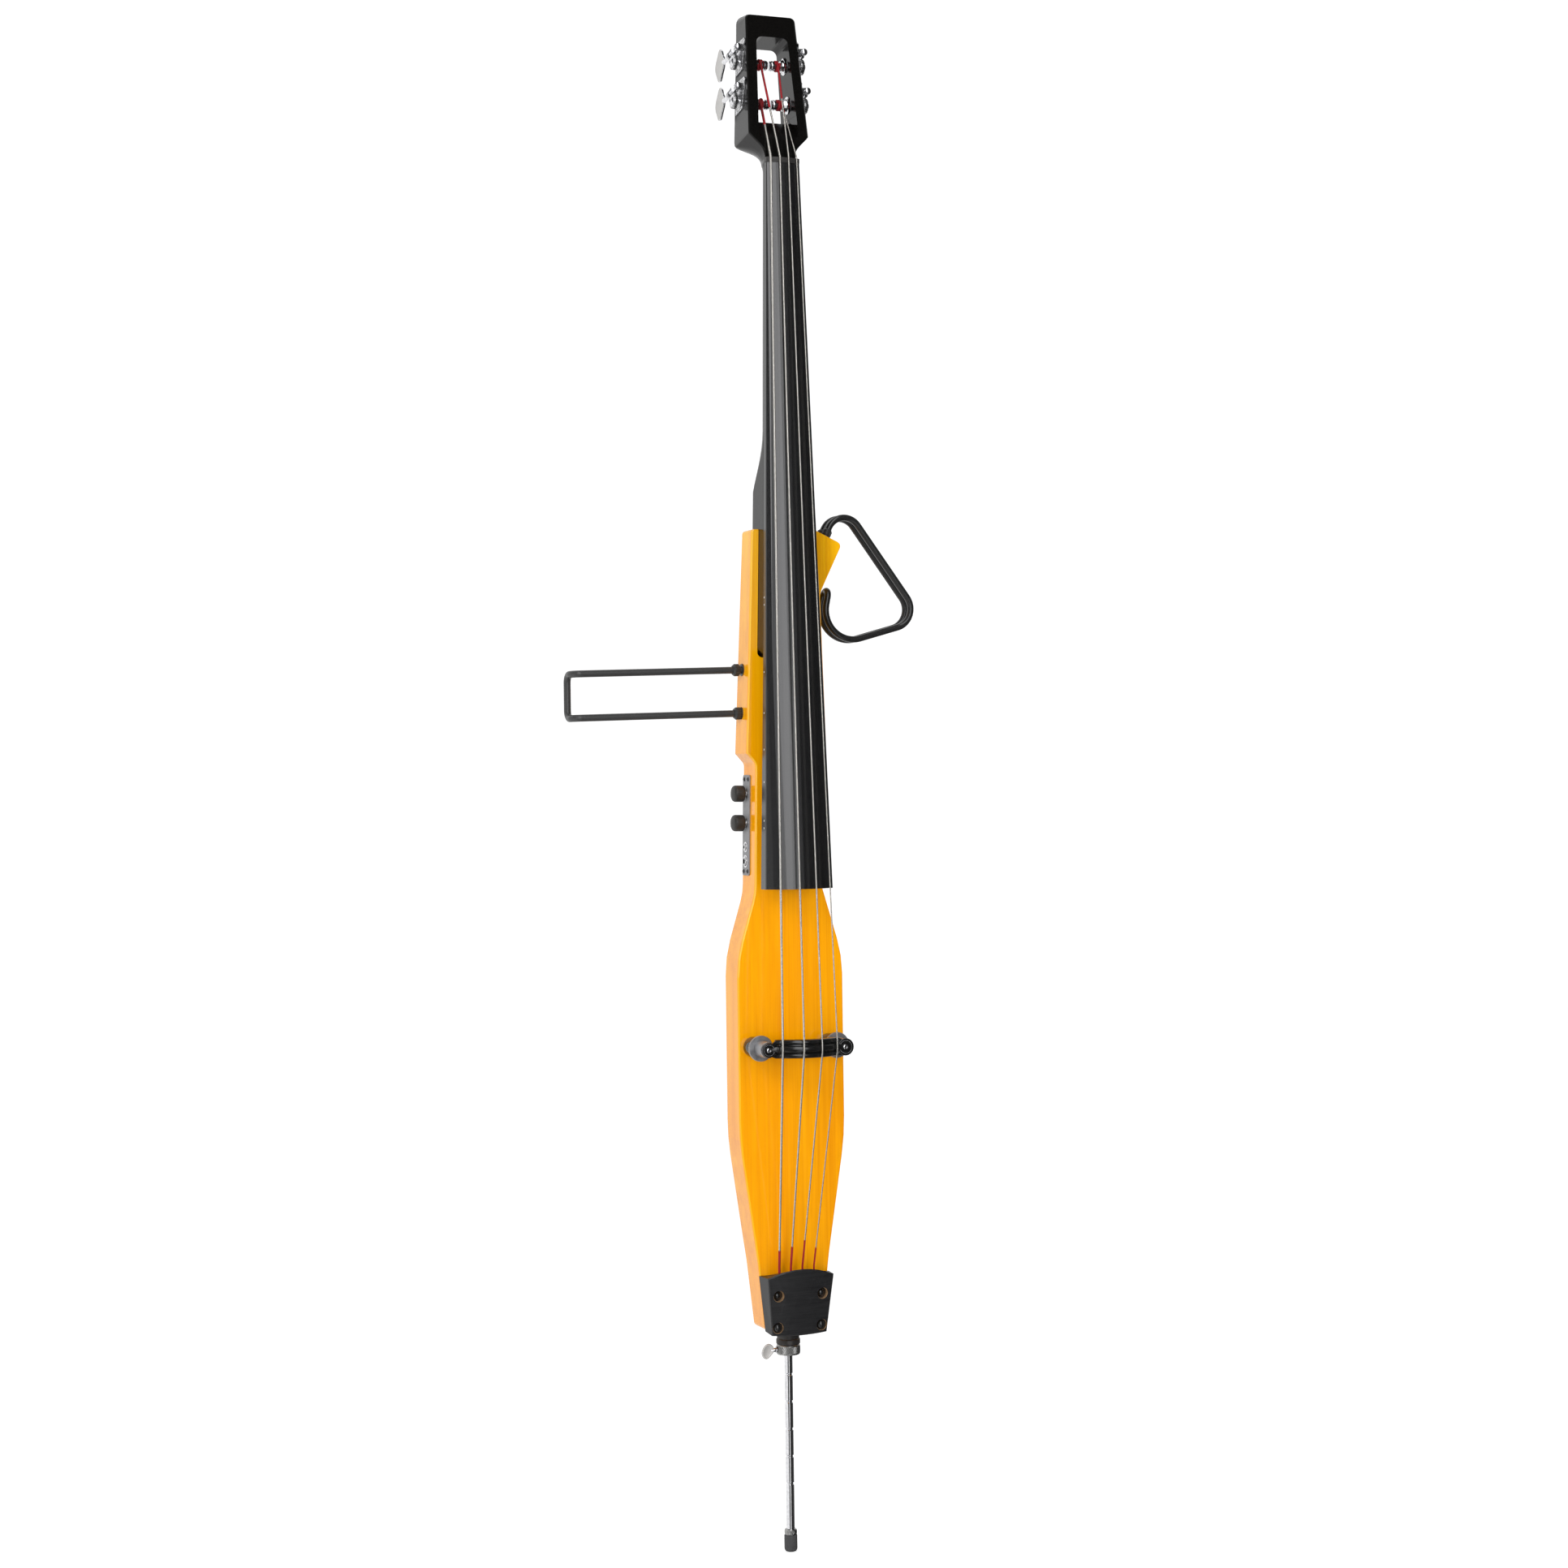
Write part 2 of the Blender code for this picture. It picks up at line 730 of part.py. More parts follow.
def neck_bolt_hole(z):
    """A stepped hole from the back: the washer's seat, then the bolt's clearance."""
    seat = back_y(z) - NECK_WASHER_SEAT
    deep = HEEL_BACK_Y - MARGIN / 4
    profile = (
        (0, deep),
        (NECK_BOLT_RADIUS + GAP, deep),
        (NECK_BOLT_RADIUS + GAP, seat),
        (NECK_WASHER_RADIUS + GAP, seat),
        (NECK_WASHER_RADIUS + GAP, BACK_Y + MARGIN),
        (0, BACK_Y + MARGIN),
    )
    return axis_turned(profile, 14, (0, 0, z), (0, 1, 0))


def spike_bore():
    """The bore for the spike at full depth, with a wider one for the plug's sleeve."""
    top = SPIKE_TOP_Z + SPIKE_TRAVEL + BORE_END_GAP
    sleeve_top = BODY_FOOT_Z + PLUG_SLEEVE_LENGTH + GAP
    profile = (
        (0, BODY_FOOT_Z - MARGIN),
        (PLUG_SLEEVE_RADIUS + GAP, BODY_FOOT_Z - MARGIN),
        (PLUG_SLEEVE_RADIUS + GAP, sleeve_top),
        (SPIKE_RADIUS + SLIDE_GAP, sleeve_top),
        (SPIKE_RADIUS + SLIDE_GAP, top),
        (0, top),
    )
    return turned(profile, 20)


def socket_bore(foot, outward, socket_radius, socket_depth, rod_radius, rod_depth):
    """A stepped bore: the socket's seat, then the rod's own bore behind it."""
    profile = (
        (0, -MARGIN),
        (socket_radius + GAP, -MARGIN),
        (socket_radius + GAP, socket_depth + GAP),
        (rod_radius + SLIDE_GAP, socket_depth + GAP),
        (rod_radius + SLIDE_GAP, rod_depth),
        (0, rod_depth),
    )
    return axis_turned(profile, 12, foot, -outward)


def rest_feet():
    return [Vector((REST_FOOT_X, y, rest_foot_z())) for y in rest_rows()]


def control_cavity():
    """The slot behind the controls, the room behind it and the rebate for the back cover."""
    foot = PANEL_FOOT_Z + CAVITY_MARGIN
    top = PANEL_TOP_Z - CAVITY_MARGIN
    slot_half = PANEL_WIDTH / 2 - CAVITY_LEDGE
    side = box(
        (-BASS_WAIST_HALF_WIDTH - MARGIN, PANEL_Y - slot_half, foot),
        (CAVITY_BASS_X + CAVITY_LEDGE / 4, PANEL_Y + slot_half, top),
    )
    room = box((CAVITY_BASS_X, CAVITY_FRONT_Y, foot), (CAVITY_TREBLE_X, BACK_Y + MARGIN, top))
    rebate = prism(
        cover_outline(COVER_LIP + GAP), "XZ", BACK_Y - COVER_THICKNESS - GAP, BACK_Y + MARGIN
    )
    return side, room, rebate


def cover_outline(lip):
    foot = PANEL_FOOT_Z + CAVITY_MARGIN - lip
    top = PANEL_TOP_Z - CAVITY_MARGIN + lip
    low = CAVITY_BASS_X - lip
    high = CAVITY_TREBLE_X + lip
    corners = ((low, foot), (high, foot), (high, top), (low, top))
    return fillet_path([(*corner, COVER_CORNER) for corner in corners])


def build_body():
    outline = prism(body_outline(), "XZ", FRONT_Y, BACK_Y)
    profile = fillet_path(
        (
            (FRONT_Y - MARGIN, BODY_FOOT_Z - MARGIN, 0),
            (FOOT_BACK_Y, BODY_FOOT_Z - MARGIN, 0),
            (FOOT_BACK_Y, BODY_FOOT_Z, 0.3),
            (BACK_Y, BACK_RISE_Z, 1.0),
            (BACK_Y, BACK_TAPER_Z, 2.0),
            (back_y(BODY_TOP_Z + MARGIN), BODY_TOP_Z + MARGIN, 0),
            (FRONT_Y - MARGIN, BODY_TOP_Z + MARGIN, 0),
        )
    )
    reach = HORN_TIP[0] + MARGIN
    side = prism(profile, "YZ", -reach, reach)
    mesh = bevelled(combined(outline, "INTERSECT", [side]), BODY_EDGE, 2, 60)
    cutters = [heel_pocket(), spike_bore(), *control_cavity()]
    cutters += [neck_bolt_hole(z) for z in NECK_BOLT_Z]
    for foot in brace_feet():
        depth = BRACE_INSERTED + BRACE_TRAVEL_IN + BORE_END_GAP
        cutters.append(
            socket_bore(
                foot, brace_axis(), BRACE_SOCKET_RADIUS, BRACE_SOCKET_DEPTH, BRACE_RADIUS, depth
            )
        )
    for foot in rest_feet():
        depth = REST_INSERTED + BORE_END_GAP
        cutters.append(
            socket_bore(foot, rest_axis(), REST_SOCKET_RADIUS, REST_SOCKET_DEPTH, REST_RADIUS, depth)
        )
    for x in (-STUD_X, STUD_X):
        radius = STUD_THREAD_RADIUS + GAP
        deep = FRONT_Y + STUD_DEPTH + GAP
        high = (x, FRONT_Y - MARGIN, BRIDGE_Z)
        cutters.append(cylinder_between(radius, 16, high, (x, deep, BRIDGE_Z)))
    for x in (-TAIL_SCREW_X, TAIL_SCREW_X):
        for z in TAIL_SCREW_Z:
            radius = TAIL_SCREW_SHANK + GAP
            deep = FRONT_Y + TAIL_SCREW_DEPTH + GAP
            cutters.append(cylinder_between(radius, 12, (x, FRONT_Y - MARGIN, z), (x, deep, z)))
    add("body", cut(mesh, *cutters), maple())


# Neck


def neck_side_path():
    """Half the width of the neck's front, from the heel to the headstock's top."""
    board_top = NUT_Z - NUT_LENGTH
    corners = (
        (board_half_width(HEEL_FOOT_Z), HEEL_FOOT_Z, 0),
        (board_half_width(board_top), board_top, 0),
        (THROAT, NUT_Z, 0),
        (THROAT, THROAT_Z, THROAT_ROUND),
        (HEAD_WIDE, HEAD_WIDE_Z, HEAD_WIDE_ROUND),
        (HEAD_NARROW, HEAD_TOP_Z, 0),
    )
    return fillet_path(corners)


def neck_back_path():
    """The neck's back seen from the side, from the heel's curve to the headstock's top."""
    shaft_foot = HEEL_SHOULDER_Z + HEEL_CURVE
    corners = (
        (board_under_y(shaft_foot) + NECK_DEPTH, shaft_foot, 0),
        (board_under_y(FLARE_Z) + NECK_DEPTH, FLARE_Z, FLARE_ROUND),
        (HEAD_BACK_Y, HEAD_BACK_Z, HEAD_BACK_ROUND),
        (HEAD_BACK_TOP_Y, HEAD_TOP_Z, 0),
    )
    return fillet_path(corners)


def neck_back_y(z, path):
    """The neck's back at a height: the flat heel, its curve, and then the path."""
    shaft_foot = HEEL_SHOULDER_Z + HEEL_CURVE
    left = (shaft_foot - max(z, HEEL_SHOULDER_Z)) / HEEL_CURVE
    if left > 0:
        return between(across_at(path, shaft_foot), HEEL_BACK_Y, left ** 2)
    return across_at(path, z)


def back_round(z, size):
    """How far the round of a back corner reaches along a width or depth of this size."""
    shaft = ease(z, HEEL_SHOULDER_Z, HEEL_SHOULDER_Z + HEEL_CURVE)
    reach = between(HEEL_ROUND, SHAFT_ROUND_SHARE * size, shaft)
    reach = between(reach, FLARE_ROUND_SHARE * size, ease(z, *FLARE_CORNER_Z))
    return between(reach, HEAD_ROUND, ease(z, *HEAD_CORNER_Z))


def neck_tilt(z):
    return HEAD_PITCH * ease(z, HEAD_FOOT_Z, THROAT_Z)


def neck_ring(z, tilt, side_path, back_path, bend=0.0):
    """A section of the neck whose front is at height z; bend shrinks it for the round top."""
    front = head_face_y(z) if z > NUT_Z else board_under_y(z) + GAP
    depth = 0.0
    for _ in range(6):
        back = neck_back_y(z - depth * math.sin(tilt), back_path)
        depth = (back - front) / math.cos(tilt)
    half = across_at(side_path, z) - HEAD_TOP_CORNER * bend
    back_z = z - depth * math.sin(tilt)
    inset = HEAD_EDGE * bend
    depth -= HEAD_TOP_BACK_ROUND * bend
    wide_round = min(back_round(back_z, half), half)
    deep_round = back_round(back_z, depth)
    edge = between(NECK_EDGE, HEAD_EDGE, ease(z, NUT_Z, THROAT_Z))
    section = [(half - edge, inset), (half, inset + edge)]
    steps = 6
    for step in range(steps + 1):
        angle = math.pi / 2 * step / steps
        across = half - wide_round * (1 - math.cos(angle))
        section.append((across, depth - deep_round * (1 - math.sin(angle))))
    section += [(-across, deep) for across, deep in reversed(section)]
    slant = Vector((0, math.cos(tilt), -math.sin(tilt)))
    return [Vector((across, front, z)) + deep * slant for across, deep in section]


def neck_mesh():
    """The whole neck and head as one loft, closed by a rounded top."""
    board_top = NUT_Z - NUT_LENGTH
    stations = [HEEL_FOOT_Z - GAP, HEEL_SHOULDER_Z]
    stations += spread(HEEL_SHOULDER_Z, HEEL_SHOULDER_Z + HEEL_CURVE, 7)
    stations += [HEAD_FOOT_Z]
    stations += spread(HEAD_FOOT_Z, board_top, 4)
    stations += spread(board_top, NUT_Z, 2)
    stations += spread(NUT_Z, HEAD_WIDE_Z + HEAD_WIDE_ROUND, 13)
    stations += spread(HEAD_WIDE_Z + HEAD_WIDE_ROUND, HEAD_WIDE_Z + MARGIN, 2)
    paths = (neck_side_path(), neck_back_path())
    stations += [HEAD_TOP_Z - HEAD_TOP_CORNER - MARGIN]
    rings = [neck_ring(z, neck_tilt(z), *paths) for z in stations]
    steps = 4
    for step in range(steps + 1):
        angle = math.pi / 2 * step / steps
        z = HEAD_TOP_Z - HEAD_TOP_CORNER * (1 - math.sin(angle))
        tilt = HEAD_TOP_PITCH * math.sin(angle)
        rings.append(neck_ring(z, tilt, *paths, 1 - math.cos(angle)))
    return loft(rings)


def heel_end():
    """Keeps the heel's lower corners round, as the pocket's are."""
    wide = board_half_width(HEEL_FOOT_Z)
    far = wide + MARGIN
    shoulder = HEEL_FOOT_Z + 2 * HEEL_CORNER
    top = HEAD_TOP_Z + MARGIN
    corners = (
        (-wide, HEEL_FOOT_Z, HEEL_CORNER),
        (wide, HEEL_FOOT_Z, HEEL_CORNER),
        (wide, shoulder, 0),
        (far, shoulder, 0),
        (far, top, 0),
        (-far, top, 0),
        (-far, shoulder, 0),
        (-wide, shoulder, 0),
    )
    return prism(fillet_path(corners), "XZ", -far, far)


def slot_half_width(z):
    return head_half_width(z) - CHEEK


def head_slot():
    """The slot for the posts, and the ramp that leads the strings down into it."""
    deep = 2 * HEAD_WIDE
    foot = slot_half_width(SLOT_FOOT_Z)
    top = slot_half_width(SLOT_TOP_Z)
    corners = (
        (-foot, SLOT_FOOT_Z, SLOT_FOOT_ROUND),
        (foot, SLOT_FOOT_Z, SLOT_FOOT_ROUND),
        (top, SLOT_TOP_Z, SLOT_TOP_ROUND),
        (-top, SLOT_TOP_Z, SLOT_TOP_ROUND),
    )
    place = Matrix.Translation((0, head_face_y(SLOT_TOP_Z), SLOT_TOP_Z))
    lean = place @ Matrix.Rotation(-HEAD_PITCH, 4, "X") @ place.inverted()
    through = moved(prism(fillet_path(corners), "XZ", -deep, deep), lean)
    mouth_foot = slot_half_width(SLOT_RAMP_Z)
    mouth_top = SLOT_FOOT_Z + RAMP_LIP
    entry = (
        (-mouth_foot, SLOT_RAMP_Z, RAMP_ROUND),
        (mouth_foot, SLOT_RAMP_Z, RAMP_ROUND),
        (foot, mouth_top, 0),
        (-foot, mouth_top, 0),
    )
    mouth = prism(fillet_path(entry), "XZ", -deep, deep)
    lip = head_face_y(SLOT_RAMP_Z) + RAMP_LIP
    floor = (
        (-deep, SLOT_RAMP_Z - MARGIN),
        (lip, SLOT_RAMP_Z - MARGIN),
        (lip + RAMP_LIP / 2, SLOT_RAMP_Z),
        (head_face_y(SLOT_FOOT_Z) + RAMP_DEPTH, mouth_top + RAMP_LIP),
        (-deep, mouth_top + RAMP_LIP),
    )
    ramp = combined(mouth, "INTERSECT", [prism(floor, "YZ", -HEAD_WIDE, HEAD_WIDE)])
    return through, ramp


def truss_rod_box(extra):
    low = TRUSS_ROD_FOOT_Z - extra
    high = TRUSS_ROD_TOP_Z + extra
    half = TRUSS_ROD_WIDTH / 2 + extra
    rings = []
    for z in (low, high):
        front = board_under_y(z) + GAP + (GAP - extra)
        back = front + TRUSS_ROD_DEPTH + 2 * extra
        rings.append([(-half, front, z), (half, front, z), (half, back, z), (-half, back, z)])
    return loft(rings)


def cheek_normal():
    """Outward direction of the treble cheek, which is cut square to the tilted face."""
    rise = HEAD_TOP_Z - HEAD_WIDE_Z
    edge = Vector((HEAD_NARROW - HEAD_WIDE, rise * math.tan(HEAD_PITCH), rise))
    inward = Vector((0, math.cos(HEAD_PITCH), -math.sin(HEAD_PITCH)))
    return inward.cross(edge).normalized()


def post_foot(row):
    """Where the axis of a post comes out of the treble cheek."""
    z = POST_Z[row]
    y = head_face_y(z) + POST_DEPTH[row]
    normal = cheek_normal()
    slope = normal.y * (y - head_face_y(HEAD_WIDE_Z)) + normal.z * (z - HEAD_WIDE_Z)
    return Vector((HEAD_WIDE - slope / normal.x, y, z))


def tuner_frame(side, row):
    """Places a tuner built for the treble cheek: x out of the wood, y back, z up the head."""
    out = cheek_normal()
    up = Vector((0, math.sin(HEAD_PITCH), math.cos(HEAD_PITCH)))
    back = up.cross(out).normalized()
    up = out.cross(back)
    place = Matrix((out, back, up)).transposed().to_4x4()
    place.translation = post_foot(row)
    return Matrix.Scale(side, 4, (1, 0, 0)) @ place


def post_bores():
    bores = []
    for side in (-1, 1):
        for row in (0, 1):
            deep = (-CHEEK - MARGIN, 0, 0)
            bore = cylinder_between(POST_RADIUS + SLIDE_GAP, 12, (MARGIN, 0, 0), deep)
            bores.append(moved(bore, tuner_frame(side, row)))
    return bores


def build_neck():
    mesh = combined(neck_mesh(), "INTERSECT", [heel_end()])
    cutters = [*head_slot(), truss_rod_box(GAP), *post_bores()]
    for z in NECK_BOLT_Z:
        start = (0, HEEL_BACK_Y - NECK_BOLT_REACH - GAP, z)
        end = (0, HEEL_BACK_Y + MARGIN, z)
        cutters.append(cylinder_between(NECK_BOLT_RADIUS + GAP, 16, start, end))
    add("neck", cut(mesh, *cutters), black_lacquer())


def build_neck_bolts():
    for number, z in enumerate(NECK_BOLT_Z, start=1):
        seat = back_y(z) - NECK_WASHER_SEAT + GAP
        reach = seat - (HEEL_BACK_Y - NECK_BOLT_REACH)
        head = NECK_WASHER_SEAT - 2 * GAP
        profile = (
            (0, -reach),
            (NECK_BOLT_RADIUS, -reach),
            (NECK_BOLT_RADIUS, 0),
            (NECK_WASHER_RADIUS, 0),
            (NECK_WASHER_RADIUS, 0.0012),
            (NECK_WASHER_RADIUS * 0.72, head),
            (0.0022, head),
            (0.0022, head - 0.0018),
            (0, head - 0.0018),
        )
        add(f"neck_bolt_{number}", axis_turned(profile, 14, (0, seat, z), (0, 1, 0)), chrome())


def build_truss_rod():
    add("truss_rod", truss_rod_box(0), material("steel rod", (0.45, 0.45, 0.46), 0.35, 1.0))


def board_ring(z):
    """A section of the fingerboard: an arched top on straight sides."""
    half = board_half_width(z)
    edge = board_edge_y(z)
    ring = [(half, board_under_y(z), z), (half, edge + 0.0008, z)]
    steps = 12
    for step in range(steps + 1):
        share = 1 - 2 * step / steps
        x = (half - 0.0008) * share
        ring.append((x, edge - board_rise(x, half), z))
    ring += [(-half, edge + 0.0008, z), (-half, board_under_y(z), z)]
    return ring


def build_fingerboard():
    top = NUT_Z - NUT_LENGTH - GAP
    rings = [board_ring(z) for z in (BOARD_END_Z, HEEL_FOOT_Z, top)]
    add("fingerboard", loft(rings), material("black fingerboard", (0.03, 0.03, 0.033), 0.55))


def build_nut():
    """A block across the end of the fingerboard, a little higher than its arch."""
    rings = []
    for z in (NUT_Z - NUT_LENGTH, NUT_Z - NUT_LENGTH / 2, NUT_Z):
        edge = board_edge_y(z)
        lift = NUT_LIFT if z > NUT_Z - NUT_LENGTH else NUT_LIFT / 2
        half = NUT_HALF_WIDTH
        under = board_under_y(z)
        ring = [(half, under, z), (half, edge - lift / 2, z)]
        steps = 8
        for step in range(steps + 1):
            share = 1 - 2 * step / steps
            x = (half - 0.0015) * share
            ring.append((x, edge - lift - board_rise(x, half), z))
        ring += [(-half, edge - lift / 2, z), (-half, under, z)]
        rings.append(ring)
    add("nut", loft(rings), black_plastic())


# Tuners


def thread_radius(phase):
    """Height of a trapezoid thread over one pitch."""
    wave = abs((phase % 1.0) - 0.5) * 2
    rise = min(1.0, max(0.0, (wave - 0.3) / 0.4))
    return WORM_ROOT + (WORM_TIP - WORM_ROOT) * rise


def key_shaft_mesh():
    """The worm and its shaft about y, from the front cap to a flat root in the key."""
    cap = EAR_FRONT - EAR_THICKNESS - GAP
    collar = EAR_BACK + EAR_THICKNESS + GAP
    worm_end = WORM_PITCH * WORM_TURNS / 2 + 0.0008
    sides = 8
    stations = [
        (cap - 0.0027, SHAFT_CAP_RADIUS / 2),
        (cap - 0.0019, SHAFT_CAP_RADIUS),
        (cap - 0.0001, SHAFT_CAP_RADIUS),
        (cap, SHAFT_RADIUS),
        (-worm_end, SHAFT_RADIUS),
    ]
    tail = [
        (worm_end, SHAFT_RADIUS, SHAFT_RADIUS, 0),
        (collar, SHAFT_RADIUS, SHAFT_RADIUS, 0),
        (collar + 0.0001, SHAFT_CAP_RADIUS, SHAFT_CAP_RADIUS, 0),
        (KEY_START - 0.0080, SHAFT_CAP_RADIUS * 0.85, SHAFT_CAP_RADIUS * 0.85, 0),
        (KEY_START, KEY_THICKNESS * 0.62, KEY_ROOT / 2, KEY_RISE / 2),
        (KEY_START + 0.0060, KEY_THICKNESS * 0.55, KEY_ROOT * 0.6, KEY_RISE),
    ]
    angles = [2 * math.pi * side / sides for side in range(sides)]
    rings = [[(r * math.cos(a), y, r * math.sin(a)) for a in angles] for y, r in stations]
    samples = 4 * WORM_TURNS
    for sample in range(samples + 1):
        y = WORM_PITCH * (sample / 4 - WORM_TURNS / 2)
        ring = []
        for a in angles:
            r = thread_radius(y / WORM_PITCH + a / (2 * math.pi))
            ring.append((r * math.cos(a), y, r * math.sin(a)))
        rings.append(ring)
    for y, thin, wide, rise in tail:
        rings.append([(thin * math.cos(a), y, wide * math.sin(a) + rise) for a in angles])
    return loft(rings)


def key_blade_mesh():
    """A leaning blade with four soft lobes, in the plane of the shaft and the head's axis."""
    middle = Vector((KEY_START + KEY_LENGTH / 2, KEY_RISE))
    lean = Matrix.Rotation(KEY_LEAN, 2)
    outline = []
    steps = 24
    for step in range(steps):
        angle = 2 * math.pi * step / steps
        lobe = 1 + KEY_LOBE * math.cos(4 * angle)
        y = KEY_LENGTH / 2 * lobe * math.cos(angle) / (1 + KEY_LOBE)
        z = KEY_HEIGHT / 2 * lobe * math.sin(angle) / (1 + KEY_LOBE)
        outline.append(middle + lean @ Vector((y, z)))
    return prism(outline, "YZ", -KEY_THICKNESS / 2, KEY_THICKNESS / 2)


def key_mesh():
    mesh = joined(key_shaft_mesh(), key_blade_mesh())
    return moved(mesh, Matrix.Translation((WORM_STANDOFF, 0, WORM_LIFT)))


def plate_mesh():
    """The base plate with the two ears that carry the worm's shaft."""
    outline = (
        (-PLATE_FLAP_FRONT, PLATE_TOP - 0.0069),
        (-PLATE_FLAP_FRONT + 0.0034, PLATE_FLAP_FOOT),
        (-PLATE_FRONT, PLATE_NARROW_Z),
        (-PLATE_FRONT + 0.0059, -PLATE_FOOT + 0.0006),
        (PLATE_BACK, -PLATE_FOOT),
        (PLATE_BACK - 0.0017, PLATE_TOP),
        (-PLATE_FLAP_FRONT + 0.0037, PLATE_TOP - 0.0027),
    )
    plate = prism(outline, "YZ", GAP, GAP + PLATE_THICKNESS)
    parts = []
    half = EAR_RADIUS * 0.85
    for start in (EAR_FRONT - EAR_THICKNESS, EAR_BACK):
        low = (WORM_STANDOFF, start, WORM_LIFT)
        high = (WORM_STANDOFF, start + EAR_THICKNESS, WORM_LIFT)
        parts.append(cylinder_between(EAR_RADIUS, 12, low, high))
        under = (GAP + PLATE_THICKNESS / 2, start, WORM_LIFT - half)
        parts.append(box(under, (WORM_STANDOFF, start + EAR_THICKNESS, WORM_LIFT + half)))
    plate = joined(plate, *parts)
    low = (WORM_STANDOFF, EAR_FRONT - MARGIN, WORM_LIFT)
    high = (WORM_STANDOFF, EAR_BACK + MARGIN, WORM_LIFT)
    bore = cylinder_between(SHAFT_RADIUS + SLIDE_GAP, 10, low, high)
    post = cylinder_between(POST_RADIUS + SLIDE_GAP, 12, (-MARGIN, 0, 0), (MARGIN, 0, 0))
    return cut(plate, bore, post)


def wheel_outline():
    points = []
    pitch = 2 * math.pi / WHEEL_TEETH
    shape = ((-0.30, WHEEL_ROOT), (-0.09, WHEEL_TIP), (0.09, WHEEL_TIP), (0.30, WHEEL_ROOT))
    for tooth in range(WHEEL_TEETH):
        for share, radius in shape:
            angle = pitch * (tooth + share + 0.25)
            points.append((radius * math.cos(angle), radius * math.sin(angle)))
    return points


def post_mesh(row):
    """The string post with its worm wheel, from the wheel's outside to the slot's middle."""
    wheel_low = WORM_STANDOFF - WHEEL_THICKNESS / 2
    wheel_high = WORM_STANDOFF + WHEEL_THICKNESS / 2
    wheel = prism(wheel_outline(), "YZ", wheel_low, wheel_high)
    inner = POST_TIP_X - post_foot(row).x
    profile = (
        (0, inner),
        (POST_FLANGE_RADIUS - 0.0008, inner),
        (POST_FLANGE_RADIUS, inner + 0.0008),
        (POST_FLANGE_RADIUS, inner + 0.0020),
        (POST_RADIUS, inner + 0.0026),
        (POST_RADIUS, wheel_low + 0.0005),
        (POST_RADIUS, wheel_high - 0.0005),
        (0.0048, wheel_high - 0.0004),
        (0.0048, wheel_high + 0.0012),
        (0.0036, wheel_high + 0.0026),
        (0, wheel_high + 0.0028),
    )
    return joined(axis_turned(profile, 12, (0, 0, 0), (1, 0, 0)), wheel)


def tuner_of(number):
    """Side and row of the tuner that a string winds on."""
    side = -1 if number < 2 else 1
    row = 0 if number in (0, 3) else 1
    return side, row


def build_tuners():
    key = key_mesh()
    plate = plate_mesh()
    posts = [post_mesh(row) for row in (0, 1)]
    for number, name in enumerate(STRING_NAMES):
        side, row = tuner_of(number)
        frame = tuner_frame(side, row)
        axis_point = frame @ Vector((WORM_STANDOFF, 0, WORM_LIFT))
        post_point = frame @ Vector((WORM_STANDOFF, 0, 0))
        add(f"tuner_plate_{name}", moved(plate.copy(), frame), chrome())
        add(f"tuner_key_{name}", moved(key.copy(), frame), chrome(), axis_point)
        add(f"tuner_post_{name}", moved(posts[row].copy(), frame), chrome(), post_point)


# Strings


def winding_points(number, radius):
    """Where the string meets its post, and its turns round the post."""
    side, row = tuner_of(number)
    frame = tuner_frame(side, row)
    wrap = POST_RADIUS + STRING_GAP + radius
    start_x = POST_WIND_X[row] - post_foot(row).x
    steps = 9
    turns = 2
    points = []
    for step in range(int(turns * steps) + 1):
        angle = 2 * math.pi * step / steps + WIND_START
        x = start_x + 2.15 * radius * step / steps
        points.append(frame @ Vector((x, -wrap * math.cos(angle), wrap * math.sin(angle))))
    return points


def string_route(number):
    radius = STRING_RADII[number]
    tail_y = FRONT_Y - TAIL_STRING_HEIGHT
    tail_x = string_x(TAIL_SPACING, number, TAIL_STRING_SHIFT)
    nut_x = string_x(NUT_SPACING, number)
    arch = board_rise(nut_x, NUT_HALF_WIDTH)
    nut_y = board_edge_y(NUT_Z) - arch - NUT_LIFT - GAP - radius
    crown = bridge_string_y(number)
    bridge_x = string_x(BRIDGE_SPACING, number, BRIDGE_STRING_SHIFT)
    points = [
        Vector((tail_x, tail_y, BALL_Z)),
        Vector((tail_x, tail_y, TAIL_TOP_Z + TAIL_CROWN + GAP)),
        Vector((bridge_x, crown + 0.0006, BRIDGE_Z - 0.004)),
        Vector((bridge_x, crown, BRIDGE_Z)),
        Vector((bridge_x, crown + 0.0002, BRIDGE_Z + 0.004)),
        Vector((nut_x, nut_y, NUT_Z - 0.004)),
        Vector((nut_x, nut_y, NUT_Z + GAP)),
    ]
    return points + winding_points(number, radius)


def build_strings():
    steel = material("wound steel string", (0.62, 0.60, 0.56), 0.35, 0.9)
    for number, name in enumerate(STRING_NAMES):
        add_rod(f"string_{name}", string_route(number), STRING_RADII[number], steel, roundness=1)


# Tail block


def tail_height(z):
    share = (z - TAIL_FOOT_Z) / (TAIL_TOP_Z - TAIL_FOOT_Z)
    return between(TAIL_FOOT_HEIGHT, TAIL_TOP_HEIGHT, share)


def tail_outline(foot_half, foot_z, sag, top_half, top_z, crown):
    """An outline of the block seen from the front: its lower edge and its upper edge."""
    points = []
    steps = 8
    for step in range(steps + 1):
        across = 2 * step / steps - 1
        points.append(Vector((across * foot_half, foot_z - sag * (1 - across * across))))
    for step in range(steps + 1):
        across = 1 - 2 * step / steps
        points.append(Vector((across * top_half, top_z + crown * (1 - across * across))))
    return points


